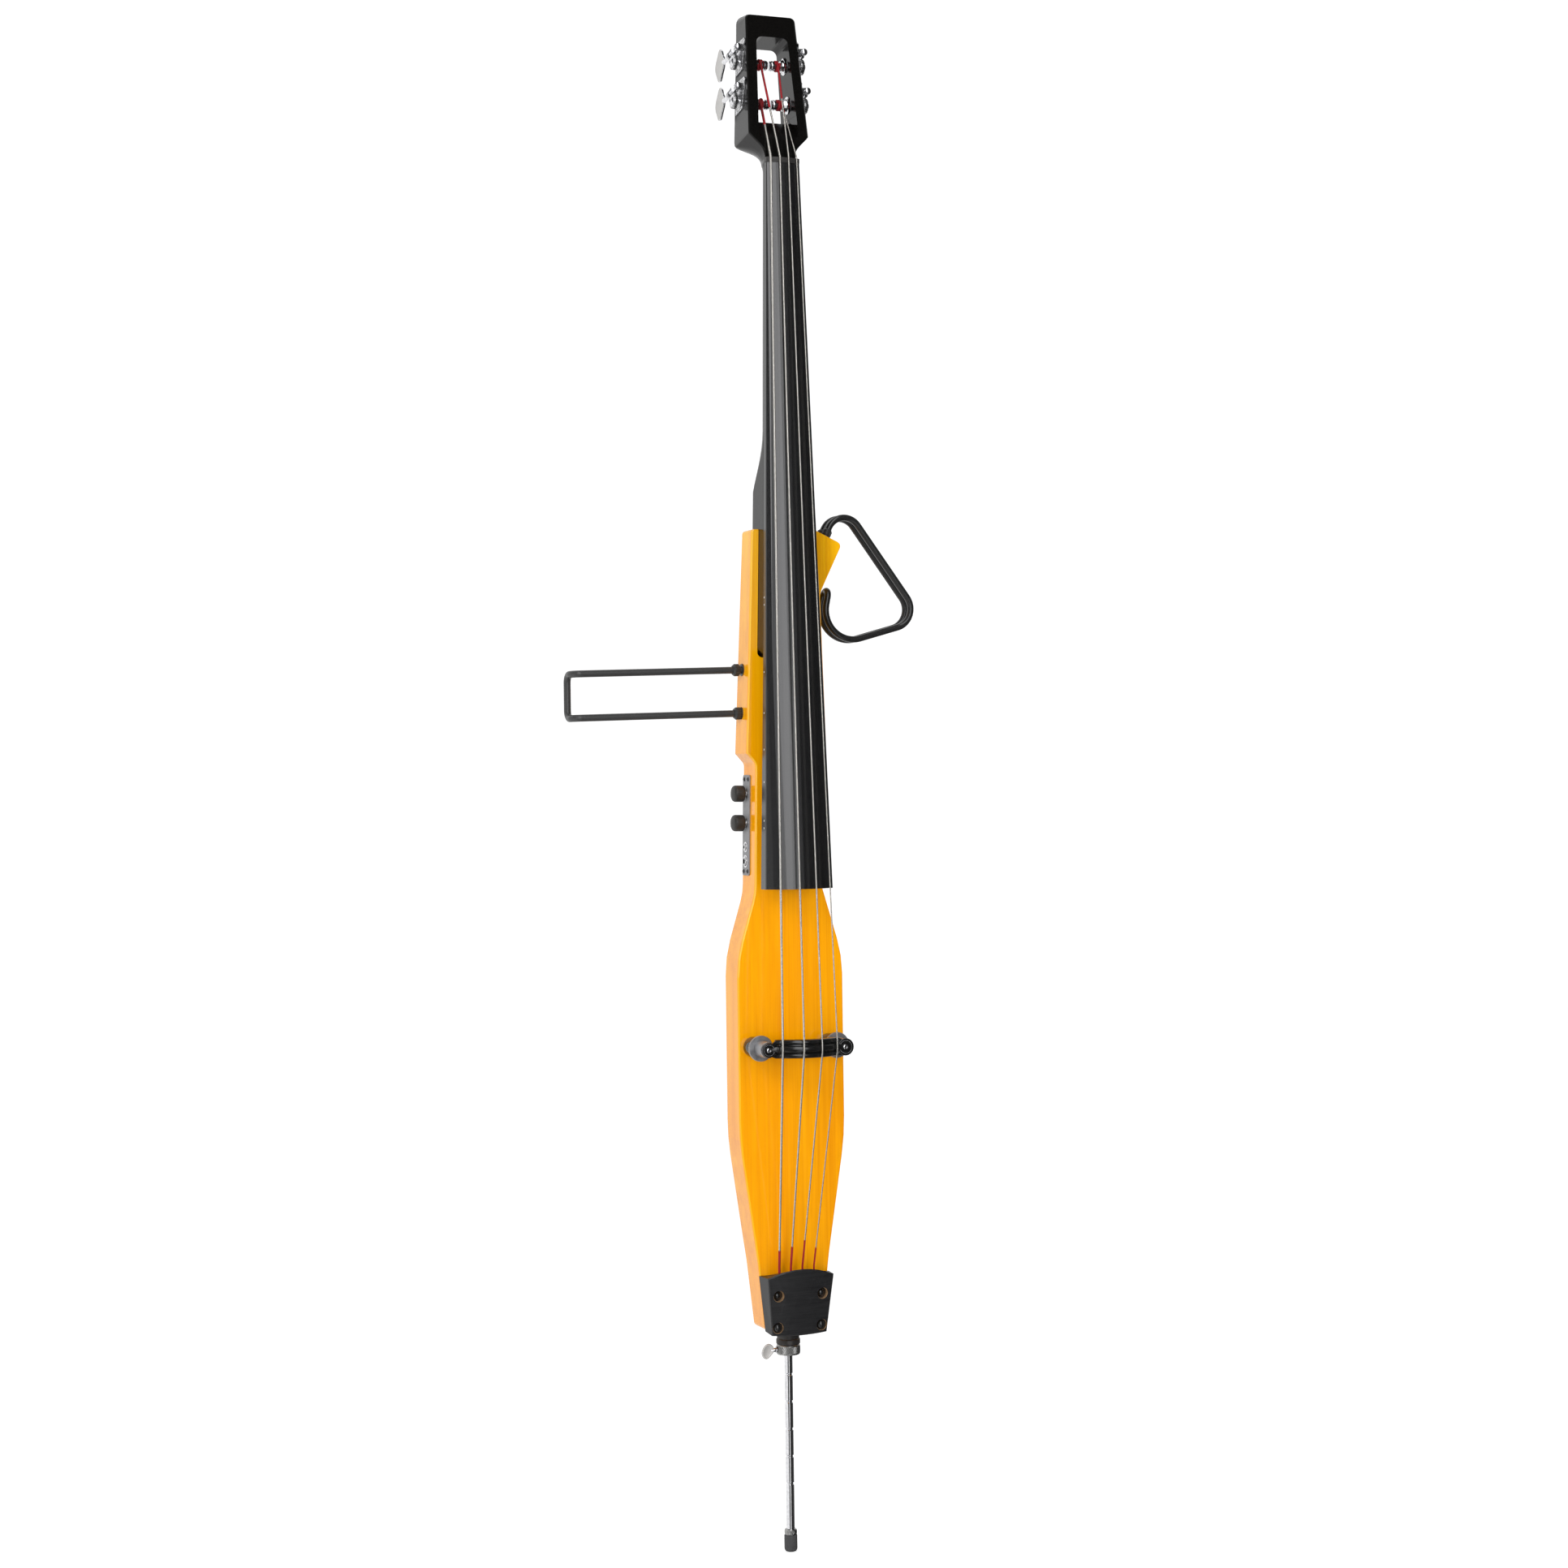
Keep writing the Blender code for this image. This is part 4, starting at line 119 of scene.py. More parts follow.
PLATE_SCREWS = ((-0.0150, 0.0212), (0.0118, 0.0246), (0.0126, -0.0088), (-0.0052, -0.0086))

# Bridge
STUD_X = 0.0485
BEAM_HALF_LENGTH = 0.0385
BEAM_WIDTH = 0.0222
BEAM_LIFT = 0.0007
BEAM_DEPTH = 0.013
BEAM_UNDER_HEIGHT = 0.0465
BOSS_RADII = (0.0086, 0.0103)
BOSS_BACK_HEIGHT = 0.0525
BOSS_FRONT_HEIGHT = 0.0560
BEAM_GAP = 0.0016
BRIDGE_BOLT_HEAD = 0.0035
WHEEL_HEIGHT = 0.0250
BRIDGE_WHEEL_RADIUS = 0.0155
BRIDGE_WHEEL_HUB = 0.0096
BRIDGE_WHEEL_THICKNESS = 0.004
STUD_BASE_RADIUS = 0.0123
STUD_BASE_HEIGHT = 0.0215
STUD_THREAD_RADIUS = 0.004

# Tail, spike and collar
TAIL_SCREW_X = 0.0278
TAIL_SCREW_Z = (0.2775, 0.3158)
TAIL_SEAT_HEIGHT = 0.0145
TAIL_COUNTERBORE = 0.0070
SPIKE_RADIUS = 0.005
SPIKE_TOP_Z = 0.330
SPIKE_GROOVES = 5
SPIKE_GROOVE_PITCH = 0.0329
SPIKE_GROOVE_TOP_Z = 0.2133
TIP_RADIUS = 0.0079
TIP_HEIGHT = 0.0205
FERRULE_TOP_Z = 0.027
FERRULE_RADIUS = 0.0077
COLLAR_FOOT_Z = 0.2377
COLLAR_TOP_Z = 0.2497
COLLAR_RADIUS = 0.0147
PLUG_FLANGE_Z = 0.2566
PLUG_FLANGE_RADIUS = 0.0145
PLUG_RADIUS = 0.0137
BODY_FOOT_Z = 0.2715
THUMB_START_X = 0.0185

# Controls
PANEL_Y = 0.0062
PANEL_WIDTH = 0.0225
PANEL_FOOT_Z = 0.815
PANEL_TOP_Z = 0.9355
PANEL_THICKNESS = 0.0012
KNOB_RADIUS = 0.0100
KNOB_LENGTH = 0.0154
KNOB_LIFT = 0.003
KNOB_SHAFT_RADIUS = 0.003
JACK_Z = (0.832, 0.849)
JACK_RADII = (0.0046, 0.0032)

# Rods
BRACE_Z = 1.0355
BRACE_SPREAD = 0.052
BRACE_RADIUS = 0.0042
BRACE_REACH = 0.2595
BRACE_INSERTED = 0.038
BRACE_BACK = 0.023
BRACE_BEND = 0.010
BRACE_NUT_RADIUS = 0.0074
BRACE_NUT_LENGTH = 0.008
REST_SPREAD = 0.0164
REST_Y = -0.0048
REST_RADIUS = 0.0040
REST_RISE = 0.0494
REST_CROOK = 0.0222
REST_CORNERS = ((0.1836, 1.1224, 0.0237), (0.0460, 1.0845, 0.0350))
REST_END = (0.0588, 1.1492)
REST_INSERTED = 0.026
REST_NUT_RADIUS = 0.0060
REST_NUT_LENGTH = 0.0085
NUT_SEAT = 0.0015

# Material helpers


def new_material(name):
    made = bpy.data.materials.new(name)
    made.use_nodes = True
    tree = made.node_tree
    shader = tree.nodes["Principled BSDF"]
    return made, tree, shader


def node(tree, kind, **values):
    made = tree.nodes.new(kind)
    for key, value in values.items():
        setattr(made, key, value)
    return made


def coordinates(tree, scale):
    place = node(tree, "ShaderNodeTexCoord")
    mapping = node(tree, "ShaderNodeMapping")
    mapping.inputs["Scale"].default_value = scale
    tree.links.new(place.outputs["Object"], mapping.inputs["Vector"])
    return mapping.outputs["Vector"]


def noise(tree, vector, scale, detail=4.0, roughness=0.55, distortion=0.0):
    made = node(tree, "ShaderNodeTexNoise")
    made.inputs["Scale"].default_value = scale
    made.inputs["Detail"].default_value = detail
    made.inputs["Roughness"].default_value = roughness
    made.inputs["Distortion"].default_value = distortion
    tree.links.new(vector, made.inputs["Vector"])
    return made.outputs["Fac"]


def ramp(tree, factor, *stops):
    made = node(tree, "ShaderNodeValToRGB")
    band = made.color_ramp
    while len(band.elements) < len(stops):
        band.elements.new(0.5)
    for element, (place, colour) in zip(band.elements, stops):
        element.position = place
        element.color = (*colour, 1.0)
    tree.links.new(factor, made.inputs["Fac"])
    return made.outputs["Color"]


def math_node(tree, operation, *values):
    made = node(tree, "ShaderNodeMath", operation=operation)
    for socket, value in zip(made.inputs, values):
        if isinstance(value, (int, float)):
            socket.default_value = value
        else:
            tree.links.new(value, socket)
    return made.outputs["Value"]


def mixed(tree, factor, first, second, blend="MIX"):
    made = node(tree, "ShaderNodeMix", data_type="RGBA", blend_type=blend)
    for name, value in (("Factor", factor), ("A", first), ("B", second)):
        if isinstance(value, (int, float)):
            made.inputs[name].default_value = value
        elif isinstance(value, tuple):
            made.inputs[name].default_value = (*value, 1.0)
        else:
            tree.links.new(value, made.inputs[name])
    return made.outputs["Result"]


def bump(tree, shader, height, strength, distance):
    made = node(tree, "ShaderNodeBump")
    made.inputs["Strength"].default_value = strength
    made.inputs["Distance"].default_value = distance
    tree.links.new(height, made.inputs["Height"])
    tree.links.new(made.outputs["Normal"], shader.inputs["Normal"])


# Materials


def amber_maple():
    """Clear gloss over amber maple: long vertical grain and darker streaks, with a painted highlight, a paler band
    on the bass-side edges where the rounded edge catches the light.
    """
    made, tree, shader = new_material("amber_maple_gloss")
    grain = noise(tree, coordinates(tree, (420, 90, 3.0)), 1.0, 7.0, 0.62, 0.3)
    figure = noise(tree, coordinates(tree, (48, 16, 2.6)), 1.0, 4.0, 0.55, 1.4)
    cloud = noise(tree, coordinates(tree, (9, 6, 2.0)), 1.0, 2.0, 0.5, 0.6)
    low = (0.86, 0.315, 0.0006)
    middle = (0.94, 0.378, 0.0010)
    high = (0.99, 0.430, 0.0015)
    wood = ramp(tree, grain, (0.28, low), (0.50, middle), (0.72, high))
    streaks = ramp(tree, figure, (0.36, (0.92, 0.84, 0.80)), (0.60, (1.0, 1.0, 1.0)))
    wood = mixed(tree, 1.0, wood, streaks, "MULTIPLY")
    wash = ramp(tree, cloud, (0.35, (0.98, 0.94, 0.9)), (0.65, (1.0, 1.04, 1.0)))
    wood = mixed(tree, 1.0, wood, wash, "MULTIPLY")
    spot = node(tree, "ShaderNodeTexCoord")
    spot_split = node(tree, "ShaderNodeSeparateXYZ")
    tree.links.new(spot.outputs["Object"], spot_split.inputs["Vector"])
    high_up = node(tree, "ShaderNodeMapRange")
    high_up.inputs["From Min"].default_value = 0.95
    high_up.inputs["From Max"].default_value = 1.23
    tree.links.new(spot_split.outputs["Z"], high_up.inputs["Value"])
    faded = ramp(tree, high_up.outputs["Result"], (0.0, (1.0, 1.0, 1.0)), (1.0, (1.0, 1.22, 2.4)))
    wood = mixed(tree, 1.0, wood, faded, "MULTIPLY")
    # Painted highlight: faces between the front and the bass-side flank are mixed halfway to a pale yellow, for the
    # light the rounded edge catches.
    facing = node(tree, "ShaderNodeNewGeometry")
    split = node(tree, "ShaderNodeSeparateXYZ")
    tree.links.new(facing.outputs["True Normal"], split.inputs["Vector"])
    side = math_node(tree, "MULTIPLY", split.outputs["X"], -1.0)
    front = math_node(tree, "ABSOLUTE", split.outputs["Y"])
    turned = math_node(tree, "GREATER_THAN", side, 0.2)
    forward = math_node(tree, "GREATER_THAN", front, 0.8)
    edge = math_node(tree, "MULTIPLY", turned, forward)
    wood = mixed(tree, math_node(tree, "MULTIPLY", edge, 0.5), wood, (0.80, 0.56, 0.030))
    tree.links.new(wood, shader.inputs["Base Color"])
    shader.inputs["Roughness"].default_value = 0.42
    shader.inputs["Specular IOR Level"].default_value = 0.0
    shader.inputs["Coat Weight"].default_value = 1.0
    shader.inputs["Coat Roughness"].default_value = 0.09
    shader.inputs["Coat IOR"].default_value = 1.6
    bump(tree, shader, grain, 0.04, 0.0002)
    return made


def speckled(name, dark, light, roughness, metallic, scale, strength, coat=0.0, stretch=(1, 1, 1), gloss=0.5):
    """A finish with a fine speckle in its colour, sheen and height."""
    made, tree, shader = new_material(name)
    fleck = noise(tree, coordinates(tree, stretch), scale, 4.0, 0.6)
    tree.links.new(ramp(tree, fleck, (0.35, dark), (0.65, light)), shader.inputs["Base Color"])
    sheen = node(tree, "ShaderNodeMapRange")
    sheen.inputs["To Min"].default_value = roughness * 0.85
    sheen.inputs["To Max"].default_value = roughness * 1.15
    tree.links.new(fleck, sheen.inputs["Value"])
    tree.links.new(sheen.outputs["Result"], shader.inputs["Roughness"])
    shader.inputs["Metallic"].default_value = metallic
    shader.inputs["Specular IOR Level"].default_value = gloss
    shader.inputs["Coat Weight"].default_value = coat
    shader.inputs["Coat Roughness"].default_value = 0.12
    bump(tree, shader, fleck, strength, 0.0002)
    return made


def banded(name, dark, light, roughness, metallic, pitch, slant, strength):
    """Threads laid side by side, crossed by a finer slanting lay."""
    made, tree, shader = new_material(name)
    wave = node(tree, "ShaderNodeTexWave", wave_type="BANDS", bands_direction="Z")
    wave.inputs["Scale"].default_value = pitch
    wave.inputs["Distortion"].default_value = slant
    wave.inputs["Detail Scale"].default_value = 40.0
    tree.links.new(coordinates(tree, (1, 1, 1)), wave.inputs["Vector"])
    fibre = noise(tree, coordinates(tree, (1, 1, 0.5)), 2600, 3.0, 0.6)
    height = math_node(tree, "MULTIPLY", wave.outputs["Fac"], fibre)
    tree.links.new(ramp(tree, height, (0.10, dark), (0.55, light)), shader.inputs["Base Color"])
    shader.inputs["Metallic"].default_value = metallic
    shader.inputs["Roughness"].default_value = roughness
    bump(tree, shader, height, strength, 0.00012)
    return made


MAPLE = amber_maple()
LACQUER = speckled(
    "black_lacquer", (0.002, 0.002, 0.002), (0.005, 0.0045, 0.004), 0.17, 0.0, 900, 0.02, gloss=0.29
)
BOARD = speckled(
    "fingerboard_black", (0.002, 0.002, 0.002), (0.013, 0.013, 0.014), 0.25, 0.0, 1500, 0.16, gloss=1.0
)
CHROME = speckled("plated_steel", (0.70, 0.70, 0.72), (0.86, 0.86, 0.88), 0.11, 1.0, 260, 0.03)
WORN_CHROME = speckled("cast_plating", (0.30, 0.30, 0.30), (0.80, 0.80, 0.81), 0.24, 1.0, 420, 0.22)
SATIN = speckled("satin_nickel", (0.49, 0.48, 0.47), (0.55, 0.54, 0.52), 0.48, 0.25, 700, 0.03)
BRUSHED = speckled("turned_nickel", (0.26, 0.26, 0.27), (0.46, 0.46, 0.47), 0.42, 0.9, 90, 0.05, 0.0, (1, 14, 1))
KNURL = speckled("knurled_steel", (0.30, 0.30, 0.29), (0.50, 0.50, 0.49), 0.36, 1.0, 900, 0.10)
BLACK_METAL = speckled("black_coating", (0.020, 0.020, 0.019), (0.036, 0.035, 0.034), 0.36, 0.0, 1200, 0.08)
ROD_BLACK = speckled("rod_gloss", (0.010, 0.010, 0.010), (0.022, 0.022, 0.022), 0.21, 0.0, 1400, 0.05)
ROD_GREY = speckled("rod_satin", (0.028, 0.028, 0.028), (0.046, 0.046, 0.046), 0.34, 0.0, 1400, 0.06)
TAIL_BLACK = speckled(
    "brushed_black", (0.006, 0.006, 0.007), (0.017, 0.017, 0.018), 0.40, 0.0, 500, 0.12, 0.0, (0.05, 1, 3)
)
BEAM_BLACK = speckled("bridge_black", (0.004, 0.004, 0.004), (0.010, 0.010, 0.010), 0.20, 0.0, 700, 0.03, 0.3)
SCREW_BLACK = speckled("screw_black", (0.008, 0.008, 0.008), (0.016, 0.016, 0.016), 0.14, 0.3, 500, 0.02, 0.6)
# Painted light: a bronze colour standing in for the lit wall of each counterbore.
LIT_WALL_BRONZE = speckled("lit_counterbore_wall", (0.30, 0.18, 0.09), (0.46, 0.30, 0.17), 0.40, 0.3, 700, 0.05)
KNOB_BLACK = speckled("knob_moulding", (0.013, 0.012, 0.011), (0.028, 0.026, 0.024), 0.48, 0.0, 1600, 0.16)
PLASTIC = speckled("black_moulding", (0.014, 0.013, 0.013), (0.030, 0.028, 0.026), 0.46, 0.0, 1500, 0.12)
RUBBER = speckled("tip_rubber", (0.030, 0.030, 0.031), (0.070, 0.070, 0.072), 0.72, 0.0, 1300, 0.45)
PANEL = speckled("panel_grey", (0.17, 0.17, 0.178), (0.24, 0.24, 0.25), 0.42, 0.0, 1400, 0.08)
DOT = speckled("side_dot", (0.55, 0.54, 0.50), (0.72, 0.71, 0.67), 0.40, 0.0, 900, 0.02)
WIRE = banded("wound_steel", (0.42, 0.40, 0.37), (1.0, 0.97, 0.91), 0.26, 0.85, 900.0, 0.3, 0.22)
SILK = banded("crimson_silk", (0.16, 0.006, 0.010), (0.56, 0.022, 0.030), 0.62, 0.0, 700.0, 1.0, 0.55)
BOARD_GREEN = speckled("circuit_green", (0.01, 0.10, 0.04), (0.02, 0.20, 0.07), 0.40, 0.0, 500, 0.10)
CASE = speckled("battery_wrap", (0.06, 0.06, 0.07), (0.12, 0.12, 0.14), 0.35, 0.4, 300, 0.05)
BRASS = speckled("strip_brass", (0.45, 0.32, 0.12), (0.60, 0.45, 0.18), 0.35, 0.9, 400, 0.05)

FINISH = {
    "body": MAPLE,
    "neck": LACQUER,
    "fingerboard": BOARD,
    "bridge_beam": BEAM_BLACK,
    "control_plate": PANEL,
    "preamp_board": BOARD_GREEN,
    "battery": CASE,
    "bridge_pickup": BRASS,
    "tail_block": TAIL_BLACK,
    "output_jack": WORN_CHROME,
    "headphone_jack": WORN_CHROME,
}
PREFIXES = (
    ("brace_", BLACK_METAL),
    ("rest_", BLACK_METAL),
    ("bridge_stud", BLACK_METAL),
    ("nut", PLASTIC),
    ("endpin_plug", PLASTIC),
    ("back_cover", PLASTIC),
    ("tuner_plate", WORN_CHROME),
)


def finish_of(name):
    if name in FINISH:
        return FINISH[name]
    for prefix, made in PREFIXES:
        if name.startswith(prefix):
            return made
    return CHROME


for name, item in nodes.items():
    item.data.materials.clear()
    item.data.materials.append(finish_of(name))
    if not item.hide_render:
        item.data.shade_smooth()
        item.data.set_sharp_from_angle(angle=math.radians(50 if name == "body" else 32))
        weighted = item.modifiers.new("even_faces", "WEIGHTED_NORMAL")
        weighted.keep_sharp = True

# Mesh helpers


def between(low, high, share):
    return low + (high - low) * share


def ring_angles(sides):
    return [2 * math.pi * side / sides for side in range(sides)]


def skin(rings, closed=False):
    """A solid through closed rings of as many points each."""
    shape = bmesh.new()
    placed = [[shape.verts.new(point) for point in ring] for ring in rings]
    if not closed:
        shape.faces.new(placed[0])
        shape.faces.new(reversed(placed[-1]))
    pairs = list(zip(placed, placed[1:]))
    if closed:
        pairs.append((placed[-1], placed[0]))
    for lower, upper in pairs:
        for index in range(len(lower)):
            following = (index + 1) % len(lower)
            shape.faces.new((lower[index], lower[following], upper[following], upper[index]))
    return shape


def lathe(profile, sides=48):
    """A turned shape about Z from (radius, height) points, hollow if no point is on the axis."""
    hollow = all(radius > 0 for radius, height in profile)
    rings = []
    for radius, height in profile:
        thin = max(radius, 0.00001)
        rings.append([(thin * math.cos(a), thin * math.sin(a), height) for a in ring_angles(sides)])
    return skin(rings, closed=hollow)


def slab(outline, low, high, bevel=0.0):
    """A flat outline of (y, z) points with thickness along x and softened edges."""
    shape = bmesh.new()
    near = [shape.verts.new((low, y, z)) for y, z in outline]
    far = [shape.verts.new((high, y, z)) for y, z in outline]
    shape.faces.new(near)
    shape.faces.new(reversed(far))
    for index in range(len(outline)):
        following = (index + 1) % len(outline)
        shape.faces.new((near[index], near[following], far[following], far[index]))
    bmesh.ops.recalc_face_normals(shape, faces=shape.faces)
    if bevel:
        edges = [edge for edge in shape.edges if edge.verts[0].co.x == edge.verts[1].co.x]
        bmesh.ops.bevel(shape, geom=edges, offset=bevel, segments=3, affect="EDGES", profile=0.5)
    return shape


def tube(points, radius, sides=20):
    """A round tube along points, its section carried along without twist."""
    rings = []
    across = None
    for index, point in enumerate(points):
        ahead = points[min(index + 1, len(points) - 1)] - points[max(index - 1, 0)]
        ahead = ahead.normalized()
        if across is None:
            across = ahead.orthogonal().normalized()
        across = (across - ahead * across.dot(ahead)).normalized()
        other = ahead.cross(across)
        wide = radius(point) if callable(radius) else radius
        rings.append([point + wide * (math.cos(a) * across + math.sin(a) * other) for a in ring_angles(sides)])
    return skin(rings)


def merged(*shapes):
    """Several shapes as one."""
    whole = bmesh.new()
    for shape in shapes:
        part = bpy.data.meshes.new("part")
        shape.to_mesh(part)
        shape.free()
        whole.from_mesh(part)
        bpy.data.meshes.remove(part)
    return whole


def moved(shape, matrix):
    bmesh.ops.transform(shape, matrix=matrix, verts=shape.verts)
    return shape


def upright(point, direction):
    """Places a shape made about Z at a point, with its height along a direction."""
    turn = Vector(direction).to_track_quat("Z", "Y").to_matrix().to_4x4()
    return Matrix.Translation(Vector(point)) @ turn


def piece(name, shape, finishes, body, stands_for=(), angle=38, choose=None):
    """A finished shape as a piece that rides on a body, in place of CAD nodes if any are named."""
    bmesh.ops.recalc_face_normals(shape, faces=shape.faces)
    made = bpy.data.meshes.new(name)
    shape.to_mesh(made)
    shape.free()
    for finish in finishes if isinstance(finishes, tuple) else (finishes,):
        made.materials.append(finish)
    if choose:
        for face in made.polygons:
            face.material_index = choose(face)
    made.shade_smooth()
    made.set_sharp_from_angle(angle=math.radians(angle))
    item = bpy.data.objects.new(name, made)
    bpy.context.scene.collection.objects.link(item)
    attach(item, body)
    if stands_for:
        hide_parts(*stands_for)
    return item


def fillet_path(corners, step_angle=math.radians(6)):
    """Points of a 3-D path whose corners are (x, y, z, radius), rounded by arcs."""
    points = []
    for index, corner in enumerate(corners):
        here = Vector(corner[:3])
        if corner[3] == 0:
            points.append(here)
            continue
        arriving = (here - Vector(corners[index - 1][:3])).normalized()
        leaving = (Vector(corners[index + 1][:3]) - here).normalized()
        turn = arriving.angle(leaving)
        start = here - arriving * corner[3] * math.tan(turn / 2)
        inward = (leaving - arriving * arriving.dot(leaving)).normalized()
        steps = max(2, math.ceil(turn / step_angle))
        for step in range(steps + 1):
            angle = turn * step / steps
            swing = math.sin(angle) * arriving - math.cos(angle) * inward
            points.append(start + inward * corner[3] + corner[3] * swing)
    return points


def knurled(radius, low, high, depth, count, rows):
    """A turned band with a diamond knurl, as rings from low to high."""
    rings = []
    for row in range(rows + 1):
        share = row / rows
        ring = []
        for side in range(4 * count):
            turn = side / 4
            first = abs((turn + share * rows / 4) % 1.0 - 0.5)
            second = abs((turn - share * rows / 4) % 1.0 - 0.5)
            wide = radius - depth * 2 * min(1.0, first + second) if 0 < row < rows else radius - depth
            angle = 2 * math.pi * side / (4 * count)
            ring.append((wide * math.cos(angle), wide * math.sin(angle), between(low, high, share)))
        rings.append(ring)
    return rings


def grooved(profile, sides, depth, low, high):
    """A turned shape whose outside has straight grips between two heights."""
    rings = []
    widest = max(radius for radius, height in profile)
    for radius, height in profile:
        ring = []
        for side in range(sides * 4):
            angle = 2 * math.pi * side / (sides * 4)
            cut = depth if side % 4 in (0, 1) and low <= height <= high and radius == widest else 0
            ring.append(((radius - cut) * math.cos(angle), (radius - cut) * math.sin(angle), height))
        rings.append(ring)
    return skin(rings, closed=True)


# Lines of the board and the strings


def board_share(z):
    return (NUT_Z - z) / (NUT_Z - BOARD_END_Z)


def board_half_width(z):
    return between(NUT_HALF_WIDTH, BOARD_END_HALF_WIDTH, board_share(z))


def board_edge_y(z):
    return between(BOARD_NUT_EDGE_Y, BOARD_END_EDGE_Y, board_share(z))


def board_rise(x, half):
    return math.sqrt(BOARD_RADIUS ** 2 - x * x) - math.sqrt(BOARD_RADIUS ** 2 - half ** 2)


def string_x(spacing, number, shift=0.0):
    return (number - (len(STRING_NAMES) - 1) / 2) * spacing + shift


def tuner_row(number):
    return 0 if number in (0, 3) else 1


def tuner_frame(name):
    """The tuner's frame, from its two joints: x out of the cheek, y back, z up the head."""
    key = joints[f"key_{name}_turn"]
    post = joints[f"post_{name}_turn"]
    out = Vector(post["axis"]).normalized()
    back = Vector(key["axis"]).normalized()
    above = Vector(key["pos_m"]) - Vector(post["pos_m"])
    up = above.normalized()
    place = Matrix((out, back, up)).transposed().to_4x4()
    place.translation = Vector(post["pos_m"]) - out * WORM_STANDOFF
    return place, above.length


# Strings


def coil_points(number, place):
    """The silk's turns on the post, both ways from where the string arrives."""
    radius = COIL_RADII[number]
    wrap = POST_RADIUS + 0.0002 + radius
    foot = abs(place.translation.x)
    pitch = 2.05 * radius
    start = POST_WIND_X[tuner_row(number)]
    before = (start - COIL_REACH[0] - radius) / pitch
    after = (COIL_REACH[1] - start - radius) / pitch
    steps = 20
    points = []
    for step in range(-int(before * steps), max(1, int(after * steps)) + 1):
        angle = 2 * math.pi * step / steps + WIND_START
        x = start - foot + pitch * step / steps
        points.append(place @ Vector((x, -wrap * math.cos(angle), wrap * math.sin(angle))))
    arrival = Vector((start - foot, -wrap * math.cos(WIND_START), wrap * math.sin(WIND_START)))
    return points, place @ arrival


def string_points(number, arrival):
    """The string's line from its ball to the post, with stations at the ends of the silk."""
    radius = STRING_RADII[number]
    tail_y = FRONT_Y - TAIL_STRING_HEIGHT
    tail_x = string_x(TAIL_SPACING, number, TAIL_STRING_SHIFT)
    nut_x = string_x(NUT_SPACING, number)
    arch = board_rise(nut_x, NUT_HALF_WIDTH)
    nut_y = board_edge_y(NUT_Z) - arch - NUT_LIFT - GAP - radius
    crown = FRONT_Y - (OUTER_BRIDGE_HEIGHT if number in (0, 3) else INNER_BRIDGE_HEIGHT)
    bridge_x = string_x(BRIDGE_SPACING, number, BRIDGE_STRING_SHIFT)
    corners = [
        Vector((tail_x, tail_y, TAIL_BALL_Z)),
        Vector((tail_x, tail_y, TAIL_EDGE_Z)),
        Vector((bridge_x, crown + 0.0006, BRIDGE_Z - 0.004)),
        Vector((bridge_x, crown, BRIDGE_Z)),
        Vector((bridge_x, crown + 0.0002, BRIDGE_Z + 0.004)),
        Vector((nut_x, nut_y, NUT_Z - 0.004)),
        Vector((nut_x, nut_y, NUT_Z + GAP)),
        arrival,
    ]
    points = [corners[0]]
    for low, high in zip(corners, corners[1:]):
        for stop in (SILK_LOW_Z[number], SILK_HIGH_Z[number]):
            if low.z < stop < high.z:
                points.append(low.lerp(high, (stop - 0.0001 - low.z) / (high.z - low.z)))
                points.append(low.lerp(high, (stop + 0.0001 - low.z) / (high.z - low.z)))
        points.append(high)
    return points


def build_strings():
    for number, name in enumerate(STRING_NAMES):
        place, _ = tuner_frame(name)
        coil, arrival = coil_points(number, place)
        low = SILK_LOW_Z[number]
        high = SILK_HIGH_Z[number]

        def wide(point, low=low, high=high, number=number):
            silk = point.z < low or point.z > high
            return STRING_RADII[number] + (SILK_THICKNESS if silk else 0)

        def slot(face, low=low, high=high):
            return 1 if face.center.z < low or face.center.z > high else 0

        line = tube(string_points(number, arrival), wide, 14)
        piece(f"string_line_{name}", line, (WIRE, SILK), "instrument", (f"string_{name}",), choose=slot)
        piece(f"silk_coil_{name}", tube(coil, COIL_RADII[number], 12), SILK, "instrument")


# Tuners


def thread_radius(phase):
    wave = abs((phase % 1.0) - 0.5) * 2
    rise = min(1.0, max(0.0, (wave - 0.3) / 0.4))
    return between(WORM_ROOT, WORM_TIP, rise)


